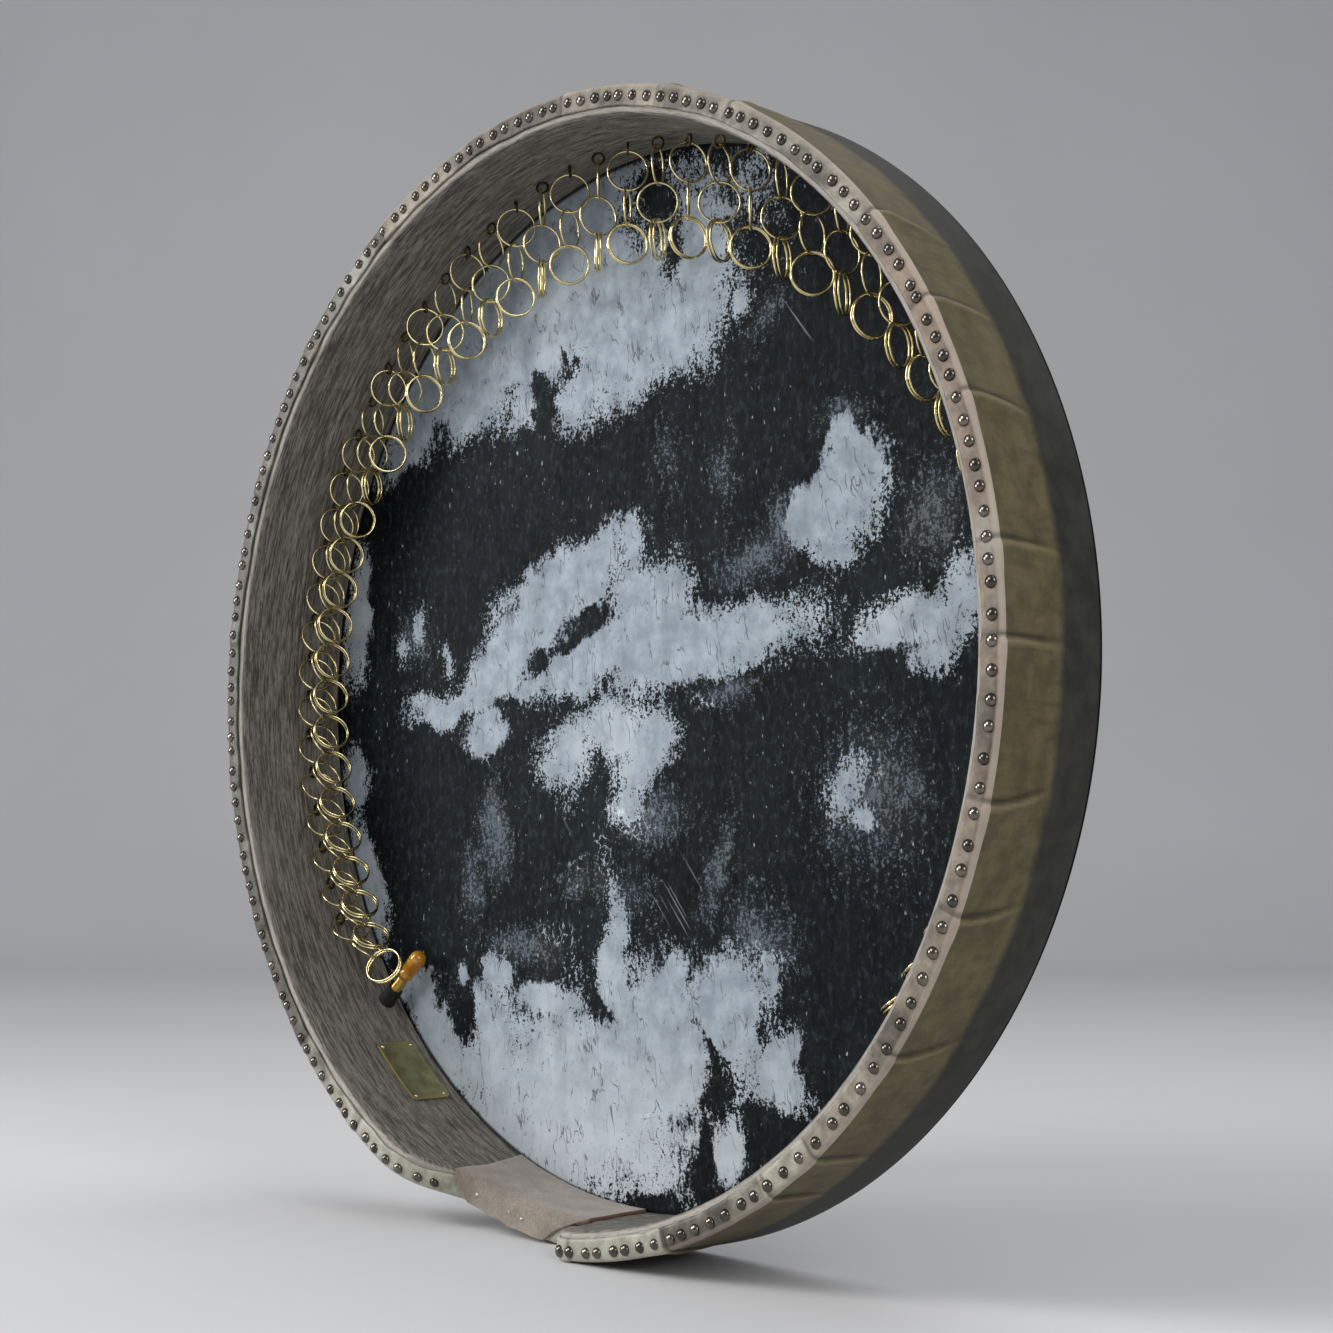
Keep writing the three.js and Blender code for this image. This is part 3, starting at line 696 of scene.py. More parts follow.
def make_wrap():
    """The hide's sides: brown on the wood, charcoal on the air tube and darker there by painted shade, with
    painted shade in creases and painted highlights on crests.
    """
    f = Finish("wrap_hide", Specular_IOR_Level=0.3)
    _, _, creased = f.parts(f.carried("tone"))
    angle, radius, y = f.polar()
    ragged = f.noise(30, 4, 0.6)
    mottled = f.noise(90, 5, 0.65)
    stretch_marks = f.noise(1, 4, 0.6, f.vector(angle * 60, y * 30, radius))
    cloud = f.noise(7, 3, 0.5)
    front = (y + (ragged - 0.5) * 0.007).step(1 * MM, 7 * MM)
    brown = f.layered(
        f.mix(mottled.step(0.3, 0.7), srgb(73, 65, 44), srgb(98, 89, 61)),
        (stretch_marks.step(0.5, 0.75) * 0.45, (58, 49, 36)),
        (cloud.step(0.48, 0.7) * 0.5, (104, 95, 76)))
    # hide over the air tube: charcoal, made darker still as painted shade
    grey = f.layered(
        f.mix(mottled.step(0.3, 0.7), srgb(31, 31, 27), srgb(50, 49, 43)),
        (cloud.step(0.5, 0.7) * 0.4, (66, 65, 57)))
    colour = f.layered(
        f.mix(front, brown, grey),
        # painted shade in the creases and painted highlights on the pleats' crests
        (creased.most(0) * 0.8, (24, 20, 15)),
        ((creased * -1).most(0) * 0.55, (142, 128, 98)))
    height = mottled * 0.6 + stretch_marks * 0.4
    return f.done(colour, 0.52 + mottled * 0.2, height, 0.4 * MM)


def make_hem():
    """The folded hem: dried hide, greenish cream to tan, darker in stretches from stains and painted shade,
    with painted shade where it laps and a painted highlight along its outer edge.
    """
    f = Finish("hem_hide", Specular_IOR_Level=0.4)
    warm, dark, creased = f.parts(f.carried("tone"))
    _, radius, _ = f.polar()
    cloud = f.noise(9, 3, 0.5)
    blotch = f.noise(42, 4, 0.6)
    mottled = f.noise(160, 4, 0.65)
    tan = f.mix(mottled.step(0.3, 0.7), srgb(108, 90, 73), srgb(140, 120, 100))
    cream = f.mix(mottled.step(0.3, 0.7), srgb(138, 137, 121), srgb(176, 176, 161))
    shade = f.mix(mottled.step(0.3, 0.7), srgb(48, 43, 35), srgb(78, 71, 59))
    # darker stretches: partly stains, partly painted shade along the dimly lit left side
    stains_and_shade = (dark * 1.1 + (blotch - 0.5) * 1.7).step(0.15, 0.85)
    # painted highlight along the hem's outer rounded edge, strongest where the hem is warm
    wear_and_edge_highlight = radius.step(RADIUS - 2.4 * MM, RADIUS - 0.8 * MM) * (0.25 + warm * 0.45)
    colour = f.layered(
        f.mix(stains_and_shade, f.mix(warm, cream, tan), shade),
        (cloud.step(0.6, 0.7) * 0.3, (184, 186, 174)),
        (wear_and_edge_highlight, (184, 170, 156)),
        # painted shade in the creases where the hem laps
        (creased.most(0) * 0.7, (36, 31, 25)))
    height = mottled * 0.5 + blotch * 0.6
    return f.done(colour, 0.36 + blotch * 0.25, height, 0.4 * MM)


def make_suede(name, low, high):
    """Suede: soft nap with brushed streaks."""
    f = Finish(name, Specular_IOR_Level=0.12, Sheen_Weight=0.35, Sheen_Roughness=0.6)
    nap = f.noise(900, 3, 0.7)
    brushed = f.noise(60, 5, 0.65)
    wear_and_edge_highlight = f.noise(24, 4, 0.6)
    fibres = f.noise(340, 3, 0.65)
    colour = f.layered(
        f.mix(brushed.step(0.3, 0.7), low, high),
        (fibres.step(0.56, 0.7) * 0.4, (86, 73, 64)),
        (nap.step(0.35, 0.7) * 0.4, (94, 81, 71)),
        (wear_and_edge_highlight.step(0.55, 0.72) * 0.5, (122, 106, 95)))
    height = nap + fibres * 0.6 + brushed * 0.6
    return f.done(colour, 0.86 + nap * 0.12, height, 0.5 * MM)


def make_brass(name, bright, dull, roughness, tarnish):
    """Brass: bright metal with a duller bloom."""
    f = Finish(name, Metallic=1.0)
    bloom = f.noise(70, 4, 0.6)
    fine = f.noise(600, 3, 0.6)
    colour = f.mix(bloom.step(0.62 - tarnish, 0.8 - tarnish * 0.4), bright, dull)
    return f.done(colour, roughness + bloom * 0.14 + fine * 0.06, fine, 0.02 * MM)


def make_plate_brass():
    """Thin brass sheet, dulled in the middle and rubbed bright at the edges."""
    f = Finish("plate_brass", Metallic=1.0)
    angle, _, y = f.polar()
    rubbed = f.noise(1, 4, 0.65, f.vector(angle * 40, y * 1600, 0))
    bloom = f.noise(120, 4, 0.6)
    across = ((angle - PLATE_ANGLE) * HOOP_INNER / (PLATE_LENGTH / 2)).size()
    down = ((y - PLATE_Y) / (PLATE_WIDTH / 2)).size()
    edge = across.most(down).step(0.86, 1.0)
    colour = f.mix(bloom.step(0.35, 0.7), srgb(186, 179, 133), srgb(149, 145, 108))
    colour = f.mix(edge * 0.5, colour, srgb(212, 190, 116))
    height = rubbed * 0.7 + bloom * 0.5
    return f.done(colour, 0.36 + rubbed * 0.16 + bloom * 0.1, height, 0.05 * MM)


def make_tack_metal():
    """Dark smooth tack heads, rubbed a little brighter here and there."""
    f = Finish("tack_metal", Metallic=1.0)
    rubbed = f.noise(90, 3, 0.5)
    fine = f.noise(500, 2, 0.5)
    colour = f.mix(rubbed.step(0.4, 0.7), srgb(84, 79, 73), srgb(128, 121, 112))
    return f.done(colour, 0.12 + rubbed * 0.08, fine, 0.006 * MM)


def make_pin_metal():
    """Small bright pin heads."""
    f = Finish("pin_metal", Metallic=1.0)
    rubbed = f.noise(400, 3, 0.6)
    colour = f.mix(rubbed.step(0.4, 0.7), srgb(190, 182, 164), srgb(216, 210, 196))
    return f.done(colour, 0.22 + rubbed * 0.2)


def make_amber():
    """Amber plastic: light passes into it, with a gloss skin."""
    f = Finish("amber_plastic", Coat_Weight=1.0, Coat_Roughness=0.03, Transmission_Weight=0.55, IOR=1.5)
    cloud = f.noise(160, 3, 0.5)
    dust = f.noise(1300, 3, 0.6)
    colour = f.mix(cloud.step(0.35, 0.7), srgb(224, 150, 8), srgb(248, 196, 46))
    return f.done(colour, 0.06 + dust * 0.08, dust, 0.01 * MM)


def make_rubber(name, low, high):
    """Black rubber with a dusty bloom."""
    f = Finish(name, Specular_IOR_Level=0.35)
    bloom = f.noise(260, 4, 0.65)
    colour = f.mix(bloom.step(0.4, 0.75), low, high)
    return f.done(colour, 0.6 + bloom * 0.25, bloom, 0.08 * MM)


WOOD = make_wood()
HEAD = make_head()
WRAP = make_wrap()
HEM = make_hem()
SUEDE = make_suede("suede", srgb(121, 110, 98), srgb(153, 141, 127))
SUEDE_EDGE = make_suede("suede_edge", srgb(128, 80, 62), srgb(154, 104, 84))
RING_BRASS = make_brass("ring_brass", srgb(236, 220, 166), srgb(182, 158, 98), 0.1, 0.05)
# darker brass for the screw eyes: partly aged metal, partly painted shade
AGED_SHADED_EYE_BRASS = make_brass("eye_brass", srgb(76, 63, 42), srgb(46, 38, 27), 0.28, 0.12)
VALVE_BRASS = make_brass("valve_brass", srgb(206, 170, 92), srgb(142, 108, 52), 0.2, 0.12)
PLATE_BRASS = make_plate_brass()
TACK_METAL = make_tack_metal()
PIN_METAL = make_pin_metal()
AMBER = make_amber()
SLEEVE = make_rubber("sleeve_rubber", srgb(20, 20, 20), srgb(46, 45, 44))
TUBE_RUBBER = make_rubber("tube_rubber", srgb(16, 16, 17), srgb(38, 38, 39))


# Hide

def turned(angle, start):
    """Degrees from one direction to another, between -180 and 180."""
    return (angle - start + 180) % 360 - 180


def pleats_near(point):
    """Distance round the drum from each pleat near a point, and how much of the pleat is left there."""
    angle = math.degrees(math.atan2(point.x, point.z - MIDDLE))
    depth = point.y - BACK
    for pleat, drift, _, _ in PLEATS:
        run = math.radians(turned(angle, pleat + drift * (depth / PLEAT_END) ** 2)) * RADIUS
        if abs(run) < 8 * PLEAT_WIDTH:
            yield run, smooth(PLEAT_END, 0.45 * PLEAT_END, depth)


def gather(point):
    """How far the hide's sides stand out at a point: its pleats, and a slight unevenness."""
    lift = 0.25 * MM * noise.noise(point * 28)
    for run, left in pleats_near(point):
        width = PLEAT_WIDTH * (2.8 if run > 0 else 0.7)
        lift += PLEAT_HEIGHT * math.exp(-(run / width) ** 2) * left
    return lift


def crease(point):
    """How deep in a crease beside a pleat a point lies, or how high on a pleat's crest, below 0: where
    painted shade and painted highlights go.
    """
    depth = 0
    for run, left in pleats_near(point):
        across = run / PLEAT_WIDTH
        depth += left * (math.exp(-((across + 1.2) / 0.8) ** 2) - math.exp(-((across - 0.5) / 0.7) ** 2))
    return depth


def column_angle(column):
    return math.degrees(NOTCH_ANGLE + column.point.x / RADIUS)


def lap(column):
    """Steps of the hem where one gather laps over the next."""
    nearest = min((turned(column_angle(column), pleat) for pleat, _, _, _ in PLEATS), key=abs)
    run = math.radians(nearest) * RADIUS
    return LAP_HEIGHT * smooth(-0.6 * MM, 0.6 * MM, run) * smooth(16 * MM, 3 * MM, run)


def hem_tone(column):
    """How warm and how dark the hem is at a place; the darkness is partly stains and partly painted shade.
    """
    *_, warm, dark = min(PLEATS, key=lambda pleat: (column_angle(column) - pleat[0]) % 360)
    return warm, dark


def wrap_section(column):
    """The hide's section at one place: hem's lip, hem, back round and side, then back along its inside."""
    rise = lap(column)
    across, back = column.point
    hem_inner = RADIUS - HEM_WIDTH + 0.9 * MM * noise.noise(Vector((across * 60, back * 60, 3.7)))
    section = [column.rim(hem_inner, HIDE), column.rim(hem_inner + 0.1 * MM, 0.35 * MM - rise)]
    hem_outer = RADIUS - BACK_ROUND
    for i in range(HEM_ROWS + 1):
        radius = lerp(hem_inner + 0.5 * MM, hem_outer, i / HEM_ROWS)
        ripple = 0.3 * MM * noise.noise(Vector((across * 130, radius * 130, back * 130)))
        section.append(column.rim(radius, ripple * smooth(hem_outer, hem_outer - 3 * MM, radius) - rise))
    for turn in (22.5, 45, 67.5):
        t = math.radians(turn)
        section.append(column.rim(
            hem_outer + (BACK_ROUND + rise) * math.sin(t), BACK_ROUND - (BACK_ROUND + rise) * math.cos(t)))
    side_end = FACE - FACE_ROUND
    for i in range(WRAP_ROWS + 1):
        flat = column.side(RADIUS, BACK_ROUND, side_end, i / WRAP_ROWS)
        ends = smooth(0, 0.08, i / WRAP_ROWS) * smooth(1, 0.85, i / WRAP_ROWS)
        out = Vector((flat.x, 0, flat.z - MIDDLE)).normalized()
        section.append(flat + out * (gather(flat) * ends + rise * (1 - smooth(0, 0.25, i / WRAP_ROWS))))
    inside = RADIUS - HIDE
    section.append(column.side(inside, BACK_ROUND, side_end, 1))
    section.append(column.side(inside, BACK_ROUND, side_end, 0.5))
    section.append(column.rim(inside, BACK_ROUND))
    section.append(column.rim(hem_outer, HIDE))
    return section


def make_wrap_piece():
    points, faces = loft([wrap_section(column) for column in EDGE])
    piece = new_piece("hide_wrap", points, faces, WRAP, HEM)
    section_size = len(points) // len(EDGE)
    hem_faces = 2 + HEM_ROWS + 4
    for face in piece.data.polygons:
        face.material_index = 1 if face.index % section_size < hem_faces else 0
    tones = [hem_tone(column) for column in EDGE]
    carry(piece, "tone", ((*tones[i // section_size], crease(point)) for i, point in enumerate(points)))
    return settle(piece, "drum", "goat_hide", "hide")


def ovals(places, across, up):
    """How far inside the nearest of some ovals each point lies."""
    deepest = numpy.full(len(across), -4.0)
    for x, z, length, width, turn, strength in places:
        t = math.radians(turn)
        right, above = across - x * MM, up - z * MM
        run = (right * math.cos(t) + above * math.sin(t)) / (length * MM)
        rise = (above * math.cos(t) - right * math.sin(t)) / (width * MM)
        deepest = numpy.maximum(deepest, strength - numpy.hypot(run, rise))
    return deepest


def torn_places(points):
    """Places on the head across and up from its middle, each moved a little to one side or another."""
    across, up = [], []
    for point in points:
        right, above = point.x, point.z - MIDDLE
        swirl = Vector((right * PATCH_SWIRL, SEED, above * PATCH_SWIRL))
        across.append(right + PATCH_TEAR * noise.turbulence(swirl, 3, False))
        up.append(above + PATCH_TEAR * noise.turbulence(-swirl, 3, False))
    return numpy.array(across), numpy.array(up)


def mark_head(piece, points):
    """Lays the hide's patches, hazes, crinkled places and scratches on the head's points."""
    across, up = torn_places(points)
    paleness = numpy.minimum(ovals(PATCHES, across, up), -0.9 * ovals(HOLES, across, up))
    none = numpy.zeros(len(points))
    carry(piece, "patches", zip(paleness, ovals(HAZES, across, up), none))
    carry(piece, "marks", zip(ovals(CRINKLES, across, up), ovals(SCRATCHED, across, up), none))


def make_head_piece():
    """The head, flat and closed, turned down over the hoop's front edge."""
    flat, foot = RADIUS - FACE_ROUND, FACE - FACE_ROUND
    profile = [(flat * i / HEAD_RINGS, FACE) for i in range(1, HEAD_RINGS)]
    for bend, turns in ((FACE_ROUND, (0, 22.5, 45, 67.5, 90)), (FACE_ROUND - HIDE, (90, 45, 0))):
        for turn in turns:
            t = math.radians(turn)
            profile.append((flat + bend * math.sin(t), foot + bend * math.cos(t)))
    profile += [(flat * i / HEAD_RINGS, FACE - HIDE) for i in range(HEAD_RINGS - 1, 0, -1)]
    turns = [2 * math.pi * i / HEAD_STEPS for i in range(HEAD_STEPS)]
    sections = [[place(t, radius, y) for radius, y in profile] for t in turns]
    points, faces = loft(sections, closed_section=False)
    count = len(profile)
    for depth, row, faces_out in ((FACE, 0, True), (FACE - HIDE, count - 1, False)):
        points.append(place(0, 0, depth))
        for i in range(HEAD_STEPS):
            a, b = i * count + row, (i + 1) % HEAD_STEPS * count + row
            faces.append((len(points) - 1, a, b) if faces_out else (len(points) - 1, b, a))
    piece = new_piece("hide_head", points, faces, HEAD)
    mark_head(piece, points)
    return settle(piece, "drum", "goat_hide", "hide")


# Hoop

def hoop_section(column):
    """The hoop's section at one place: back edge, outside with the tube's groove, front edge, inner wall."""
    near = HOOP_DEPTH_IN
    groove_front = FACE - GROOVE_SETBACK
    groove_back = groove_front - GROOVE_WIDTH
    groove_floor = HOOP_OUTER - GROOVE_DEPTH
    wall_end = HOOP_FACE - HOOP_EASE
    section = [
        column.rim(HOOP_INNER + HOOP_BEVEL, near),
        column.rim(HOOP_OUTER - BACK_ROUND / 2, near),
        column.rim(HOOP_OUTER, near + BACK_ROUND / 2),
    ]
    for radius, y in (
            (HOOP_OUTER, groove_back), (groove_floor, groove_back), (groove_floor, groove_front),
            (HOOP_OUTER, groove_front), (HOOP_OUTER, HOOP_FACE - FACE_ROUND / 2),
            (HOOP_OUTER - FACE_ROUND / 2, HOOP_FACE), (HOOP_INNER + HOOP_EASE, HOOP_FACE),
            (HOOP_INNER, wall_end)):
        section.append(column.side(radius, near, y, 1))
    for i in range(1, WALL_ROWS + 1):
        section.append(column.side(HOOP_INNER, near + HOOP_BEVEL, wall_end, 1 - i / WALL_ROWS))
    for turn in (30, 60):
        t = math.radians(turn)
        section.append(column.rim(
            HOOP_INNER + HOOP_BEVEL * (1 - math.cos(t)), near + HOOP_BEVEL * (1 - math.sin(t))))
    return section


def make_hoop():
    points, faces = loft([hoop_section(column) for column in EDGE[::2]])
    piece = new_piece("hoop_wood", points, faces, WOOD)
    piece.data.set_sharp_from_angle(angle=SHARP)
    return settle(piece, "drum", "wood", "hoop")


# Repeats, by Geometry Nodes

class Pattern(Graph):
    """A Geometry Nodes tree with named inputs: sizes, a count and a material."""

    def __init__(self, name, sizes, count):
        super().__init__(bpy.data.node_groups.new(name, "GeometryNodeTree"))
        self.sockets = {}
        kinds = {"Geometry": "Geometry", "Material": "Material", count: "Int"}
        kinds.update(dict.fromkeys(sizes, "Float"))
        for socket, kind in kinds.items():
            made = self.tree.interface.new_socket(socket, in_out="INPUT", socket_type=f"NodeSocket{kind}")
            self.sockets[socket] = made.identifier
        self.tree.interface.new_socket("Geometry", in_out="OUTPUT", socket_type="NodeSocketGeometry")
        self.entry = self.tree.nodes.new("NodeGroupInput")

    def given(self, name):
        return Value(self, self.entry.outputs[name])

    def attribute(self, name):
        return self.node("GeometryNodeInputNamedAttribute", {"data_type": "FLOAT_VECTOR"}, {"Name": name})

    def own_turn(self):
        """The angles that each point carries."""
        return self.node("FunctionNodeEulerToRotation", None, {0: self.attribute("turn")})

    def copies(self, copy, turn, scale=(1, 1, 1)):
        """Copies on the points, made real, smooth and of the given material."""
        placed = self.node("GeometryNodeInstanceOnPoints", None, {
            "Points": self.given("Geometry"), "Instance": copy, "Rotation": turn, "Scale": scale})
        real = self.node("GeometryNodeRealizeInstances", None, {0: placed})
        shaded = self.node("GeometryNodeSetShadeSmooth", None, {0: real})
        finished = self.node("GeometryNodeSetMaterial", None, {
            0: shaded, "Material": self.given("Material")})
        self.tree.links.new(finished.socket, self.tree.nodes.new("NodeGroupOutput").inputs[0])
        return self

    def made(self, name, points, attribute, values, **inputs):
        """The pattern on points that carry an attribute, as a plain mesh."""
        piece = new_piece(name, points, [], smooth_shaded=False)
        carry(piece, attribute, values)
        modifier = piece.modifiers.new("pattern", "NODES")
        modifier.node_group = self.tree
        for key, value in inputs.items():
            modifier[self.sockets[key.replace("_", " ")]] = value
        return apply_modifiers(piece)


def dome_pattern():
    """Domed heads on points, each facing along its own direction."""
    p = Pattern("dome_heads", ("Head Diameter", "Head Height", "Size Spread"), "Seed")
    ball = p.node("GeometryNodeMeshUVSphere", None, {
        "Segments": DOME_SIDES, "Rings": DOME_ROWS, "Radius": 1.0})
    half = p.given("Head Diameter") * 0.5
    size = p.node("ShaderNodeCombineXYZ", None, {0: half, 1: half, 2: p.given("Head Height")})
    dome = p.node("GeometryNodeTransform", None, {0: ball, "Scale": size})
    spread = p.given("Size Spread")
    scale = p.node("FunctionNodeRandomValue", {"data_type": "FLOAT"}, {
        2: 1 - spread, 3: 1 + spread, "Seed": p.given("Seed")}, 1)
    turn = p.node("FunctionNodeAlignRotationToVector", {"axis": "Z"}, {"Vector": p.attribute("facing")})
    return p.copies(dome, turn, scale)


def wire_ring(p):
    """A ring of round wire, in the tree's own sizes."""
    wire = p.given("Wire")
    middle = (p.given("Ring Diameter") - wire) * 0.5
    circle = "GeometryNodeCurvePrimitiveCircle"
    path = p.node(circle, None, {"Resolution": p.given("Ring Steps"), "Radius": middle})
    section = p.node(circle, None, {"Resolution": WIRE_STEPS, "Radius": wire * 0.5})
    return p.node("GeometryNodeCurveToMesh", None, {"Curve": path, "Profile Curve": section})


def link_pattern():
    """Wire rings on points, each turned by its own angles."""
    p = Pattern("ring_links", ("Ring Diameter", "Wire"), "Ring Steps")
    turn = p.own_turn()
    return p.copies(wire_ring(p), turn)


def eye_pattern():
    """Screw eyes: a small wire ring with a shank on the way to the wall."""
    p = Pattern("screw_eyes", ("Ring Diameter", "Wire", "Shank"), "Ring Steps")
    wire, length = p.given("Wire"), p.given("Shank")
    shank = p.node("GeometryNodeMeshCylinder", None, {
        "Vertices": SHANK_SIDES, "Radius": wire * 0.5, "Depth": length})
    out = p.node("ShaderNodeCombineXYZ", None, {1: (p.given("Ring Diameter") - wire + length) * 0.5})
    shank = p.node("GeometryNodeTransform", None, {
        0: shank, "Translation": out, "Rotation": (math.pi / 2, 0, 0)})
    joined = p.tree.nodes.new("GeometryNodeJoinGeometry")
    for part in (wire_ring(p), shank):
        p.tree.links.new(part.socket, joined.inputs[0])
    return p.copies(Value(p, joined.outputs[0]), p.own_turn())


DOMES = dome_pattern()
LINKS = link_pattern()
EYES = eye_pattern()


def tack_spacing(column):
    angle = column_angle(column)
    return lerp(TACK_SPACING, TACK_SPACING_WIDE, smooth(75, 100, angle) * smooth(155, 140, angle))


def make_tacks():
    """The row of tacks round the hem, a little unevenly spaced."""
    chance = random.Random(SEED)
    line = [column for column in EDGE if not TACK_START < column.point.x < TACK_END]
    lengths = [0]
    for a, b in zip(line, line[1:]):
        lengths.append(lengths[-1] + (b.point - a.point).length / tack_spacing(b))
    count = round(lengths[-1])
    points, facings, at = [], [], 0
    for i in range(count):
        run = lengths[-1] * (i + 0.5) / count + chance.uniform(-TACK_SCATTER, TACK_SCATTER) / TACK_SPACING
        while at + 1 < len(lengths) and lengths[at + 1] < run:
            at += 1
        column = line[at]
        inset = lerp(TACK_INSET, TACK_INSET_TOP, smooth(60, 15, abs(turned(column_angle(column), 0))))
        radius = RADIUS - inset + chance.uniform(-0.3, 0.3) * MM
        points.append(column.rim(radius, -lap(column) * 0.6))
        facings.append(points[-1] - column.rim(radius, 1))
    tacks = DOMES.made(
        "tacks", points, "facing", facings, Head_Diameter=TACK_HEAD, Head_Height=TACK_HEIGHT,
        Size_Spread=0.05, Seed=SEED, Material=TACK_METAL)
    return settle(tacks, "drum", "aged_brass")


# Ring chains

def chain_turns(index, angle, pitch):
    """Turn of each ring about the chain: to and fro, as much as the next chain leaves room for."""
    fall = min(abs(angle), CHAIN_FALL)
    apart = pitch * (HOOP_INNER - EYE / 2) * math.cos(fall)
    limit = math.asin(min((apart / 2 - CHAIN_CLEARANCE) / (RING / 2), 1))
    link = min(max(LINK_TWIST_SHARE * limit, LINK_TWIST), LINK_TWIST_MOST)
    mean = max(limit - link / 2, 0) * math.sin(TURN_STEP * index)
    way = math.copysign(1, angle) if fall == CHAIN_FALL else (-1) ** index
    half = way * link / 2
    chance = random.Random(SEED + index)
    stray = 0 if fall == CHAIN_FALL else RING_STRAY
    turns = [turn + chance.uniform(-stray, stray) for turn in (mean + half, mean - half, mean + half)]
    if index == 0:
        turns[-1] += VALVE_TURN
    return turns


def make_chains():
    """Each chain on its own body: two single rings and a pair, hanging from the inside of a screw eye."""
    ahead = Vector((0, 1, 0))
    inner = RING / 2 - RING_WIRE
    eye_points, eye_turns = [], []
    swings = [joint for joint in frame["joints"] if joint["type"] == "hinge"]
    pitch = 2 * CHAIN_END / (len(swings) - 1)
    for index, joint in enumerate(swings):
        pivot, side = Vector(joint["pos_m"]), Vector(joint["axis"])
        up = side.cross(ahead)
        angle = index * pitch - CHAIN_END
        turns = chain_turns(index, angle, pitch)
        axes = Matrix((side, ahead, up)).transposed()
        points, eulers = [], []
        drop = inner - HANG_PLAY
        for level, turn in enumerate(turns):
            normal = Euler((0, math.pi / 2, turn)).to_matrix()
            for aside in ((0,) if level < 2 else (-PAIR_SPREAD, PAIR_SPREAD)):
                facing = axes @ normal
                points.append(pivot - up * drop + facing @ Vector((0, 0, aside)))
                eulers.append(facing.to_euler())
            drop += 2 * inner
        body = joint["child"]
        rings = LINKS.made(
            f"{body}_rings", points, "turn", eulers,
            Ring_Diameter=RING, Wire=RING_WIRE, Ring_Steps=RING_STEPS, Material=RING_BRASS)
        settle(rings, body, "ring_brass", body)
        outward = Vector((math.sin(angle), 0, math.cos(angle)))
        crosswise = Euler((0, 0, turns[0])).to_matrix() @ Vector((0, 1, 0))
        hole = (axes @ crosswise).normalized()
        hole = (hole - outward * hole.dot(outward)).normalized()
        eye_points.append(pivot + up * (EYE / 2 - EYE_WIRE))
        eye_turns.append(Matrix((outward.cross(hole), outward, hole)).transposed().to_euler())
    eyes = EYES.made(
        "screw_eyes", eye_points, "turn", eye_turns,
        Ring_Diameter=EYE, Wire=EYE_WIRE, Ring_Steps=EYE_STEPS, Shank=EYE_SHANK, Material=AGED_SHADED_EYE_BRASS)
    return settle(eyes, "drum", "ring_brass")


# Suede pad

def pad_point(share_round, share_down):
    """A point of the suede: from the head down the inner wall, over the back edge and out to the rim."""
    right, left = along(PAD_RIGHT, share_down), along(PAD_LEFT, share_down)
    angle = math.radians(lerp(right, left, share_round))
    edge_near = min(share_round, 1 - share_round)
    wobble = noise.noise(Vector((share_down * 5, 9.3 if share_round > 0.5 else 2.1, 0))) * PAD_WOBBLE
    angle += wobble * smooth(0.12, 0, edge_near) / RADIUS
    column = edge_at((angle - NOTCH_ANGLE) * RADIUS)
    wall = HOOP_INNER - PAD_LIE
    if share_down <= PAD_WALL_SHARE:
        head_y = FACE - HIDE - PAD_HEAD_GAP + 0.7 * MM * noise.noise(Vector((angle * 40, 0, 5)))
        foot = column.rim(wall, PAD_FOLD)
        return place(angle, wall, lerp(head_y, foot.y, share_down / PAD_WALL_SHARE))
    share = (share_down - PAD_WALL_SHARE) / (1 - PAD_WALL_SHARE)
    if share <= PAD_FOLD_SHARE:
        t = share / PAD_FOLD_SHARE * math.pi / 2
        reach = PAD_FOLD + PAD_LIE
        return column.rim(wall + PAD_FOLD * (1 - math.cos(t)), PAD_FOLD - reach * math.sin(t))
    share = (share - PAD_FOLD_SHARE) / (1 - PAD_FOLD_SHARE)
    rim_end = RADIUS - PAD_REACH + 1.2 * MM * noise.noise(Vector((angle * 30, 4, 0)))
    return column.rim(lerp(wall + PAD_FOLD, rim_end, share), -PAD_LIE)


def make_pad():
    """The suede pad over the notch. Gives the places and facings of its pins."""
    downs = [j / PAD_ROWS for j in range(PAD_ROWS + 1)]
    rows = [[pad_point(i / PAD_COLUMNS, down) for down in downs] for i in range(PAD_COLUMNS + 1)]
    points, faces = loft(rows, closed_round=False, closed_section=False)
    pad = new_piece("suede_pad", points, faces, SUEDE, SUEDE_EDGE)
    thicken(pad, PAD, PAD_EASE, rim_finish=1)
    settle(pad, "drum", "suede", "thumb_pad")
    points, facings = [], []
    for angle, share in PAD_PINS:
        right, left = along(PAD_RIGHT, share), along(PAD_LEFT, share)
        across = (angle - right) / (left - right)
        at = pad_point(across, share)
        aside, down = pad_point(across + 0.02, share), pad_point(across, share + 0.02)
        facing = (aside - at).cross(down - at).normalized()
        if facing.y > 0:
            facing.negate()
        points.append(at + facing * PAD / 2)
        facings.append(facing)
    return points, facings


# Brass plate

def plate_place(run, y, depth):
    return place(PLATE_ANGLE + run / HOOP_INNER, HOOP_INNER - PLATE_GAP - depth, y)


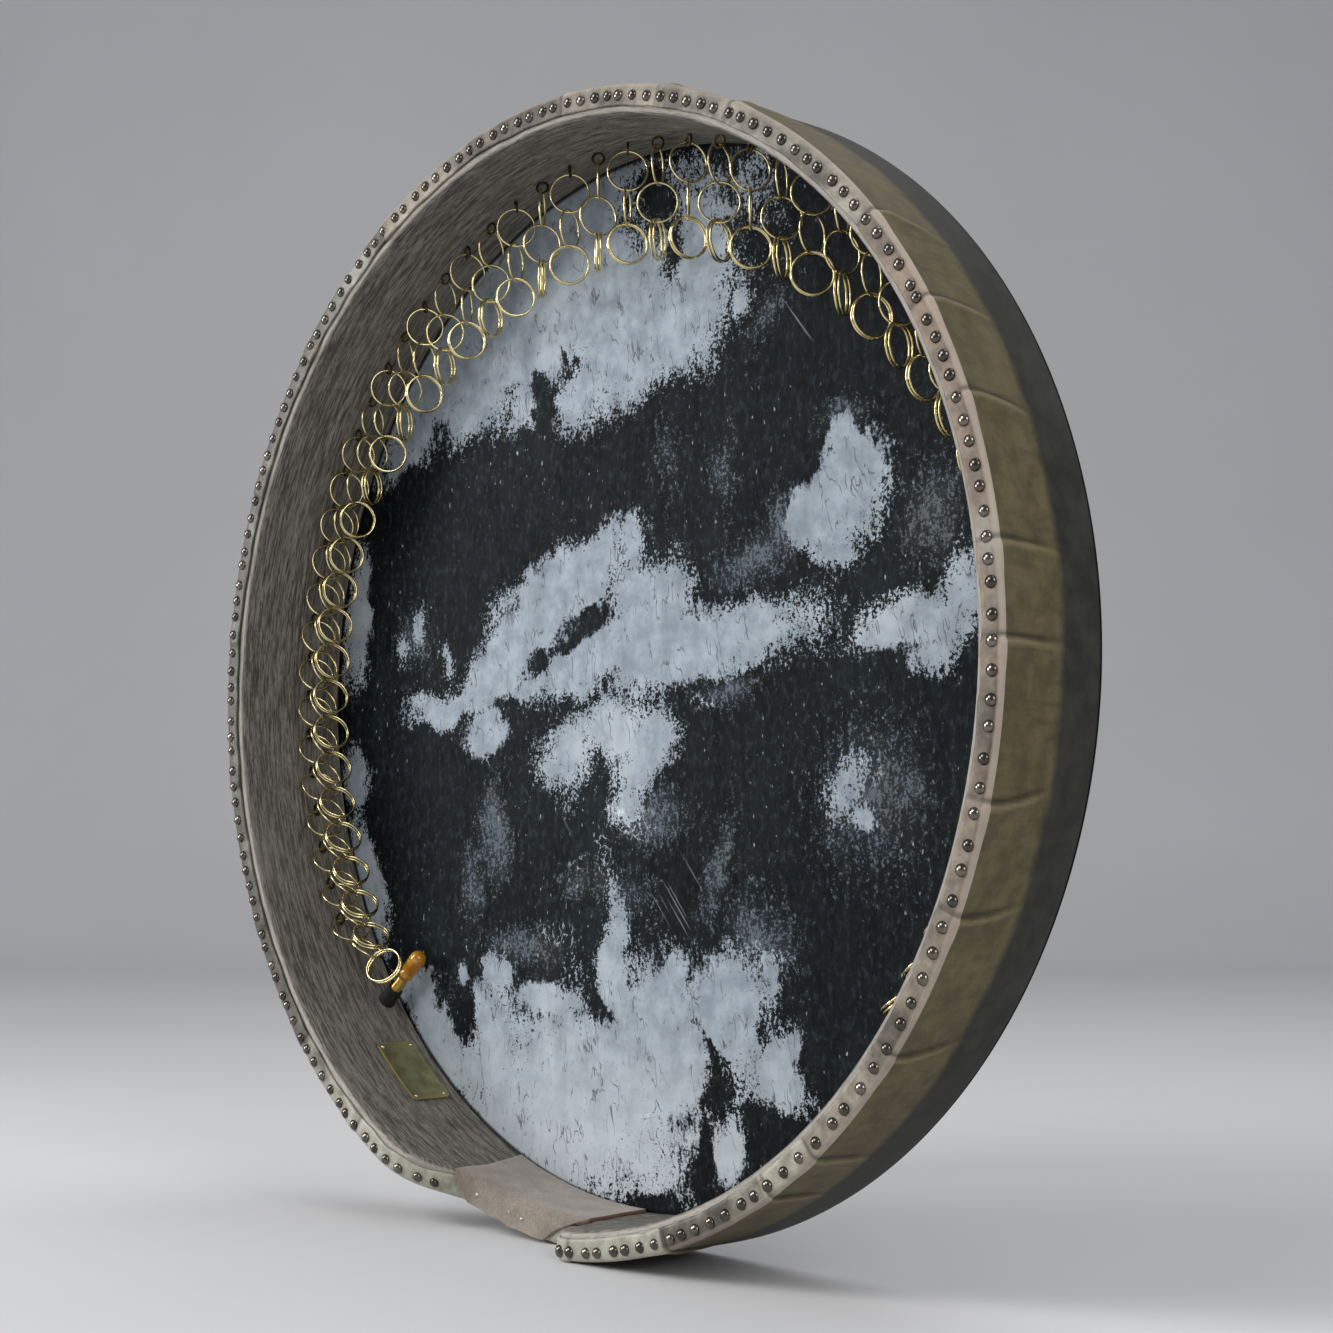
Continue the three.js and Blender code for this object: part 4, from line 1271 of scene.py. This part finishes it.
def make_plate():
    """The plate on the inner wall. Gives the places and facings of its pins."""
    sections = []
    for i in range(PLATE_COLUMNS + 1):
        run = -PLATE_LENGTH / 2 * math.cos(math.pi * i / PLATE_COLUMNS)
        past = max(abs(run) - PLATE_LENGTH / 2 + PLATE_CORNER, 0)
        half = PLATE_WIDTH / 2 - PLATE_CORNER + math.sqrt(max(PLATE_CORNER**2 - past**2, 0))
        ys = [PLATE_Y + lerp(-half, half, j / PLATE_ROWS) for j in range(PLATE_ROWS + 1)]
        sections.append([plate_place(run, y, PLATE / 2) for y in ys])
    points, faces = loft(sections, closed_round=False, closed_section=False)
    plate = new_piece("brass_plate", points, faces, PLATE_BRASS)
    thicken(plate, PLATE, PLATE_EASE)
    plate.data.set_sharp_from_angle(angle=PLATE_SHARP)
    settle(plate, "drum", "aged_brass", "plate")
    points, facings = [], []
    for side in (-1, 1):
        for up in (-1, 1):
            run = side * (PLATE_LENGTH / 2 - PLATE_PIN_INSET)
            y = PLATE_Y + up * (PLATE_WIDTH / 2 - PLATE_PIN_INSET)
            points.append(plate_place(run, y, PLATE))
            facings.append(plate_place(run, y, PLATE + 1) - points[-1])
    return points, facings


def make_pins(points, facings):
    pins = DOMES.made(
        "pins", points, "facing", facings, Head_Diameter=PIN_HEAD, Head_Height=PIN_HEIGHT, Size_Spread=0.08,
        Seed=SEED, Material=PIN_METAL)
    return settle(pins, "drum", "aged_brass")


# Valve

def turned_piece(name, profile, material, sharp=SHARP):
    """A piece turned about the valve's axis, from (radius, distance from the drum's middle) pairs."""
    axis = Vector((math.sin(VALVE_ANGLE), 0, math.cos(VALVE_ANGLE)))
    across = Vector((0, 1, 0))
    other = axis.cross(across)
    sections = []
    for i in range(VALVE_SIDES):
        t = 2 * math.pi * i / VALVE_SIDES
        ray = across * math.cos(t) + other * math.sin(t)
        sections.append([place(VALVE_ANGLE, far, VALVE_Y) + ray * radius for radius, far in profile])
    points, faces = loft(sections)
    piece = new_piece(name, points, faces, material)
    piece.data.set_sharp_from_angle(angle=sharp)
    return piece


def dome(radius, foot, height, steps):
    """A domed end, from its foot to just off the axis."""
    turns = [math.pi / 2 * i / steps for i in range(steps)]
    points = [(radius * math.cos(t), foot - height * math.sin(t)) for t in turns]
    return points + [(AXIS_GAP, foot - height)]


def make_valve():
    """The valve: a threaded stem through the wall, its black collar and its amber cap."""
    stem = [(AXIS_GAP, STEM_ROOT), (STEM_RADIUS, STEM_ROOT), (STEM_RADIUS, COLLAR_TOP - 0.2 * MM)]
    far = COLLAR_TOP - 0.6 * MM
    while far > CAP_FOOT + 2 * THREAD_PITCH:
        stem += [(STEM_RADIUS, far), (STEM_RADIUS - THREAD_DEPTH, far - THREAD_PITCH / 2)]
        far -= THREAD_PITCH
    stem += [(STEM_RADIUS, CAP_FOOT + 0.3 * MM), (STEM_TIP_RADIUS, CAP_FOOT + 0.3 * MM)]
    stem += [(STEM_TIP_RADIUS, STEM_TOP), (AXIS_GAP, STEM_TOP)]
    settle(turned_piece("valve_stem_brass", stem, VALVE_BRASS), "drum", "valve_brass", "valve_stem")

    bore = STEM_RADIUS + 0.1 * MM
    flange = COLLAR_RADIUS + 0.5 * MM
    collar = [
        (bore, COLLAR_FOOT), (flange, COLLAR_FOOT), (flange, COLLAR_FOOT - 1.4 * MM),
        (COLLAR_RADIUS, COLLAR_FOOT - 2 * MM), (COLLAR_RADIUS, COLLAR_TOP + COLLAR_LIP),
        (COLLAR_RADIUS - COLLAR_LIP, COLLAR_TOP), (bore, COLLAR_TOP),
    ]
    settle(turned_piece("valve_sleeve", collar, SLEEVE), "drum", "black_sleeve", "valve_collar")

    cap_bore, bore_top = STEM_TIP_RADIUS + 0.3 * MM, STEM_TOP - 0.3 * MM
    neck_top, waist = CAP_FOOT - 4 * MM, CAP_NECK_RADIUS - 0.5 * MM
    cap = [
        (AXIS_GAP, bore_top), (cap_bore, bore_top), (cap_bore, CAP_FOOT), (CAP_NECK_RADIUS, CAP_FOOT),
        (CAP_NECK_RADIUS, neck_top + 0.7 * MM), (waist, neck_top + 0.4 * MM), (waist, neck_top),
        (CAP_RADIUS - 0.3 * MM, neck_top - 0.5 * MM), (CAP_RADIUS, neck_top - 1.1 * MM),
    ] + dome(CAP_RADIUS, CAP_TOP + CAP_RADIUS, CAP_RADIUS, 9)
    settle(turned_piece("valve_cap_amber", cap, AMBER, CAP_SHARP), "valve_cap", "amber_cap", "valve_cap")


# Stage, lights and camera

def make_stage():
    """A pale floor that bends up into a wall behind the drum."""
    f = Finish("pale_floor", Specular_IOR_Level=0.2)
    paper = f.noise(3, 3, 0.5)
    tone = f.mix(paper, srgb(205, 205, 206), srgb(212, 212, 213))
    floor_finish = f.done(tone, 0.8 + paper * 0.1)
    foot = WALL_AWAY - WALL_BEND
    profile = [(-FLOOR_REACH, 0.0), (foot, 0.0)]
    for i in range(1, WALL_BEND_STEPS + 1):
        t = math.pi / 2 * i / WALL_BEND_STEPS
        profile.append((foot + WALL_BEND * math.sin(t), WALL_BEND - WALL_BEND * math.cos(t)))
    profile.append((WALL_AWAY, WALL_TOP))
    view = Matrix.Rotation(CAMERA_TURN, 3, "Z")
    sections = [[view @ Vector((x, y, z)) for y, z in profile] for x in (-FLOOR_REACH, FLOOR_REACH)]
    points, faces = loft(sections, closed_round=False, closed_section=False)
    new_piece("floor", points, faces, floor_finish)


def make_camera():
    camera = bpy.data.objects.new("camera", bpy.data.cameras.new("camera"))
    camera.data.sensor_width = 36
    camera.data.lens = CAMERA_LENS
    camera.data.clip_start = 0.01
    camera.location = CAMERA_PLACE
    camera.rotation_euler = CAMERA_AHEAD.to_track_quat("-Z", "Y").to_euler()
    bpy.context.scene.collection.objects.link(camera)
    bpy.context.scene.camera = camera


def soft_lamp(name, at, size, power, spread=math.pi):
    lamp = bpy.data.objects.new(name, bpy.data.lights.new(name, "AREA"))
    lamp.data.size = size
    lamp.data.energy = power
    lamp.data.spread = spread
    lamp.location = at
    lamp.rotation_euler = (Vector((0, 0, MIDDLE)) - Vector(at)).to_track_quat("-Z", "Y").to_euler()
    bpy.context.scene.collection.objects.link(lamp)


def make_lights():
    soft_lamp("key", (-0.9, -1.9, 1.7), 1.2, 34)
    soft_lamp("front", (-1.6, -1.35, 0.6), 0.65, 3.5, math.radians(70))
    soft_lamp("side", (1.9, -0.5, 1.1), 1.1, 16)
    soft_lamp("top", (0.2, 0.6, 2.4), 1.6, 16)
    world = bpy.data.worlds.new("studio")
    world.use_nodes = True
    world.node_tree.nodes["Background"].inputs["Color"].default_value = srgb(232, 234, 238)
    world.node_tree.nodes["Background"].inputs["Strength"].default_value = 0.4
    bpy.context.scene.world = world


make_camera()
make_stage()
make_lights()
make_hoop()
make_wrap_piece()
make_head_piece()
make_tacks()
make_chains()
pad_pins = make_pad()
plate_pins = make_plate()
make_pins(pad_pins[0] + plate_pins[0], pad_pins[1] + plate_pins[1])
make_valve()
frame["nodes"]["air_tube"].data.materials.clear()
frame["nodes"]["air_tube"].data.materials.append(TUBE_RUBBER)

bpy.context.scene.view_settings.view_transform = "Standard"
